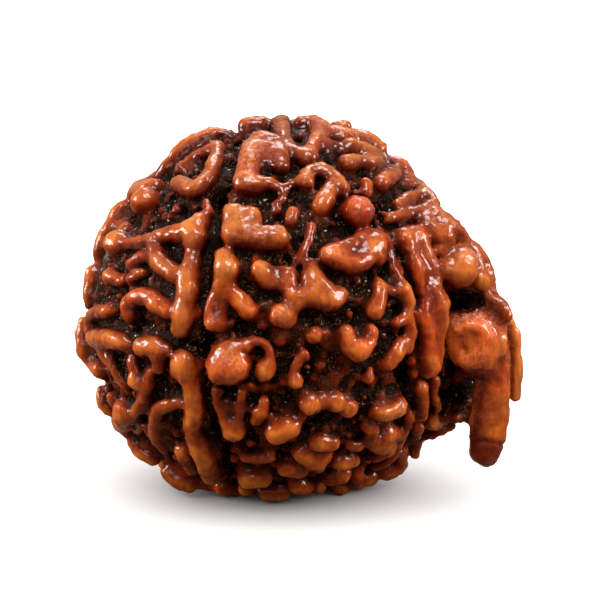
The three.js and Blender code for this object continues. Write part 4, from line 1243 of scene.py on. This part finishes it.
def makeFloor():
    deselectAll()
    bpy.ops.mesh.primitive_plane_add(size=studio["floorSize"], location=(0, 0, 0))
    floor = bpy.context.active_object
    floor.name = "studioFloor"
    material, tree, shader = newMaterial("studioWhite")
    colour = mixColour(tree, cameraShare(tree), studio["floorBounce"], studio["floorColour"])
    tree.links.new(colour, shader.inputs["Base Color"])
    shader.inputs["Roughness"].default_value = 0.9
    shader.inputs["Specular IOR Level"].default_value = 0.0
    floor.data.materials.append(material)


# place in metres round the seed, size, power in watts; the ceiling lights only the floor
lamps = {
    "ceiling": {"place": (0, 0, 1.0), "size": 6.0, "power": 285.0, "aim": (0, 0, 0)},
    "overhead": {"place": (0.05, -0.4, 0.92), "size": 0.6, "power": 10.0, "aim": (0, 0, 0.012)},
    "rear": {"place": (0.05, 0.6, 0.8), "size": 0.6, "power": 6.0, "aim": (0, 0, 0.012)},
    "front": {"place": (-0.15, -0.9, 0.4), "size": 0.5, "power": 1.2, "aim": (0, 0, 0.012)},
    "right": {"place": (0.9, -0.15, 0.4), "size": 0.5, "power": 8.5, "aim": (0, 0, 0.012)},
    "left": {"place": (-0.9, 0.0, 0.35), "size": 0.5, "power": 10.0, "aim": (0, 0, 0.012)},
}


def makeLamps():
    seedOnly, floorOnly = (bpy.data.collections.new(name) for name in ("seedOnly", "floorOnly"))
    seedOnly.objects.link(seed)
    floorOnly.objects.link(bpy.data.objects["studioFloor"])
    for name, values in lamps.items():
        data = bpy.data.lights.new(name, "AREA")
        data.shape = "DISK"
        data.size = values["size"]
        data.energy = values["power"]
        lamp = bpy.data.objects.new(name, data)
        scene.collection.objects.link(lamp)
        lamp.light_linking.receiver_collection = floorOnly if name == "ceiling" else seedOnly
        lamp.location = values["place"]
        away = Vector(values["aim"]) - lamp.location
        lamp.rotation_euler = away.to_track_quat("-Z", "Y").to_euler()
    world = bpy.data.worlds.new("studioWorld")
    world.use_nodes = True
    tree = world.node_tree
    background = tree.nodes["Background"]
    colour = mixColour(tree, cameraShare(tree), studio["worldForSeed"], studio["worldColour"])
    tree.links.new(colour, background.inputs["Color"])
    glossyShare = addNode(tree, "ShaderNodeLightPath").outputs["Is Glossy Ray"]
    strength = remap(tree, glossyShare, 0, 1, studio["worldStrength"], studio["worldInGloss"])
    tree.links.new(calculate(tree, "MAXIMUM", strength, cameraShare(tree)), background.inputs["Strength"])
    scene.world = world


def makeCamera():
    data = bpy.data.cameras.new("camera")
    data.lens = photoView["lens"]
    data.sensor_width = photoView["sensor"]
    camera = bpy.data.objects.new("camera", data)
    scene.collection.objects.link(camera)
    metresPerPixel = scale / photoView["pixelsPerMm"]
    right = (photoView["middlePixel"][0] - photoView["bodyPixel"][0]) * metresPerPixel
    up = (photoView["bodyPixel"][1] - photoView["middlePixel"][1]) * metresPerPixel
    target = bodyMiddle + right * pictureRight + up * pictureUp
    distance = photoView["width"] * metresPerPixel * photoView["lens"] / photoView["sensor"]
    camera.location = target - sight * distance
    camera.rotation_euler = (math.radians(90 - photoView["elevation"]), 0, 0)
    data.clip_end = 10
    scene.camera = camera


makeFloor()
makeLamps()
makeCamera()
scene.view_settings.view_transform = "Standard"
scene.view_settings.look = "None"
print("studio finished")
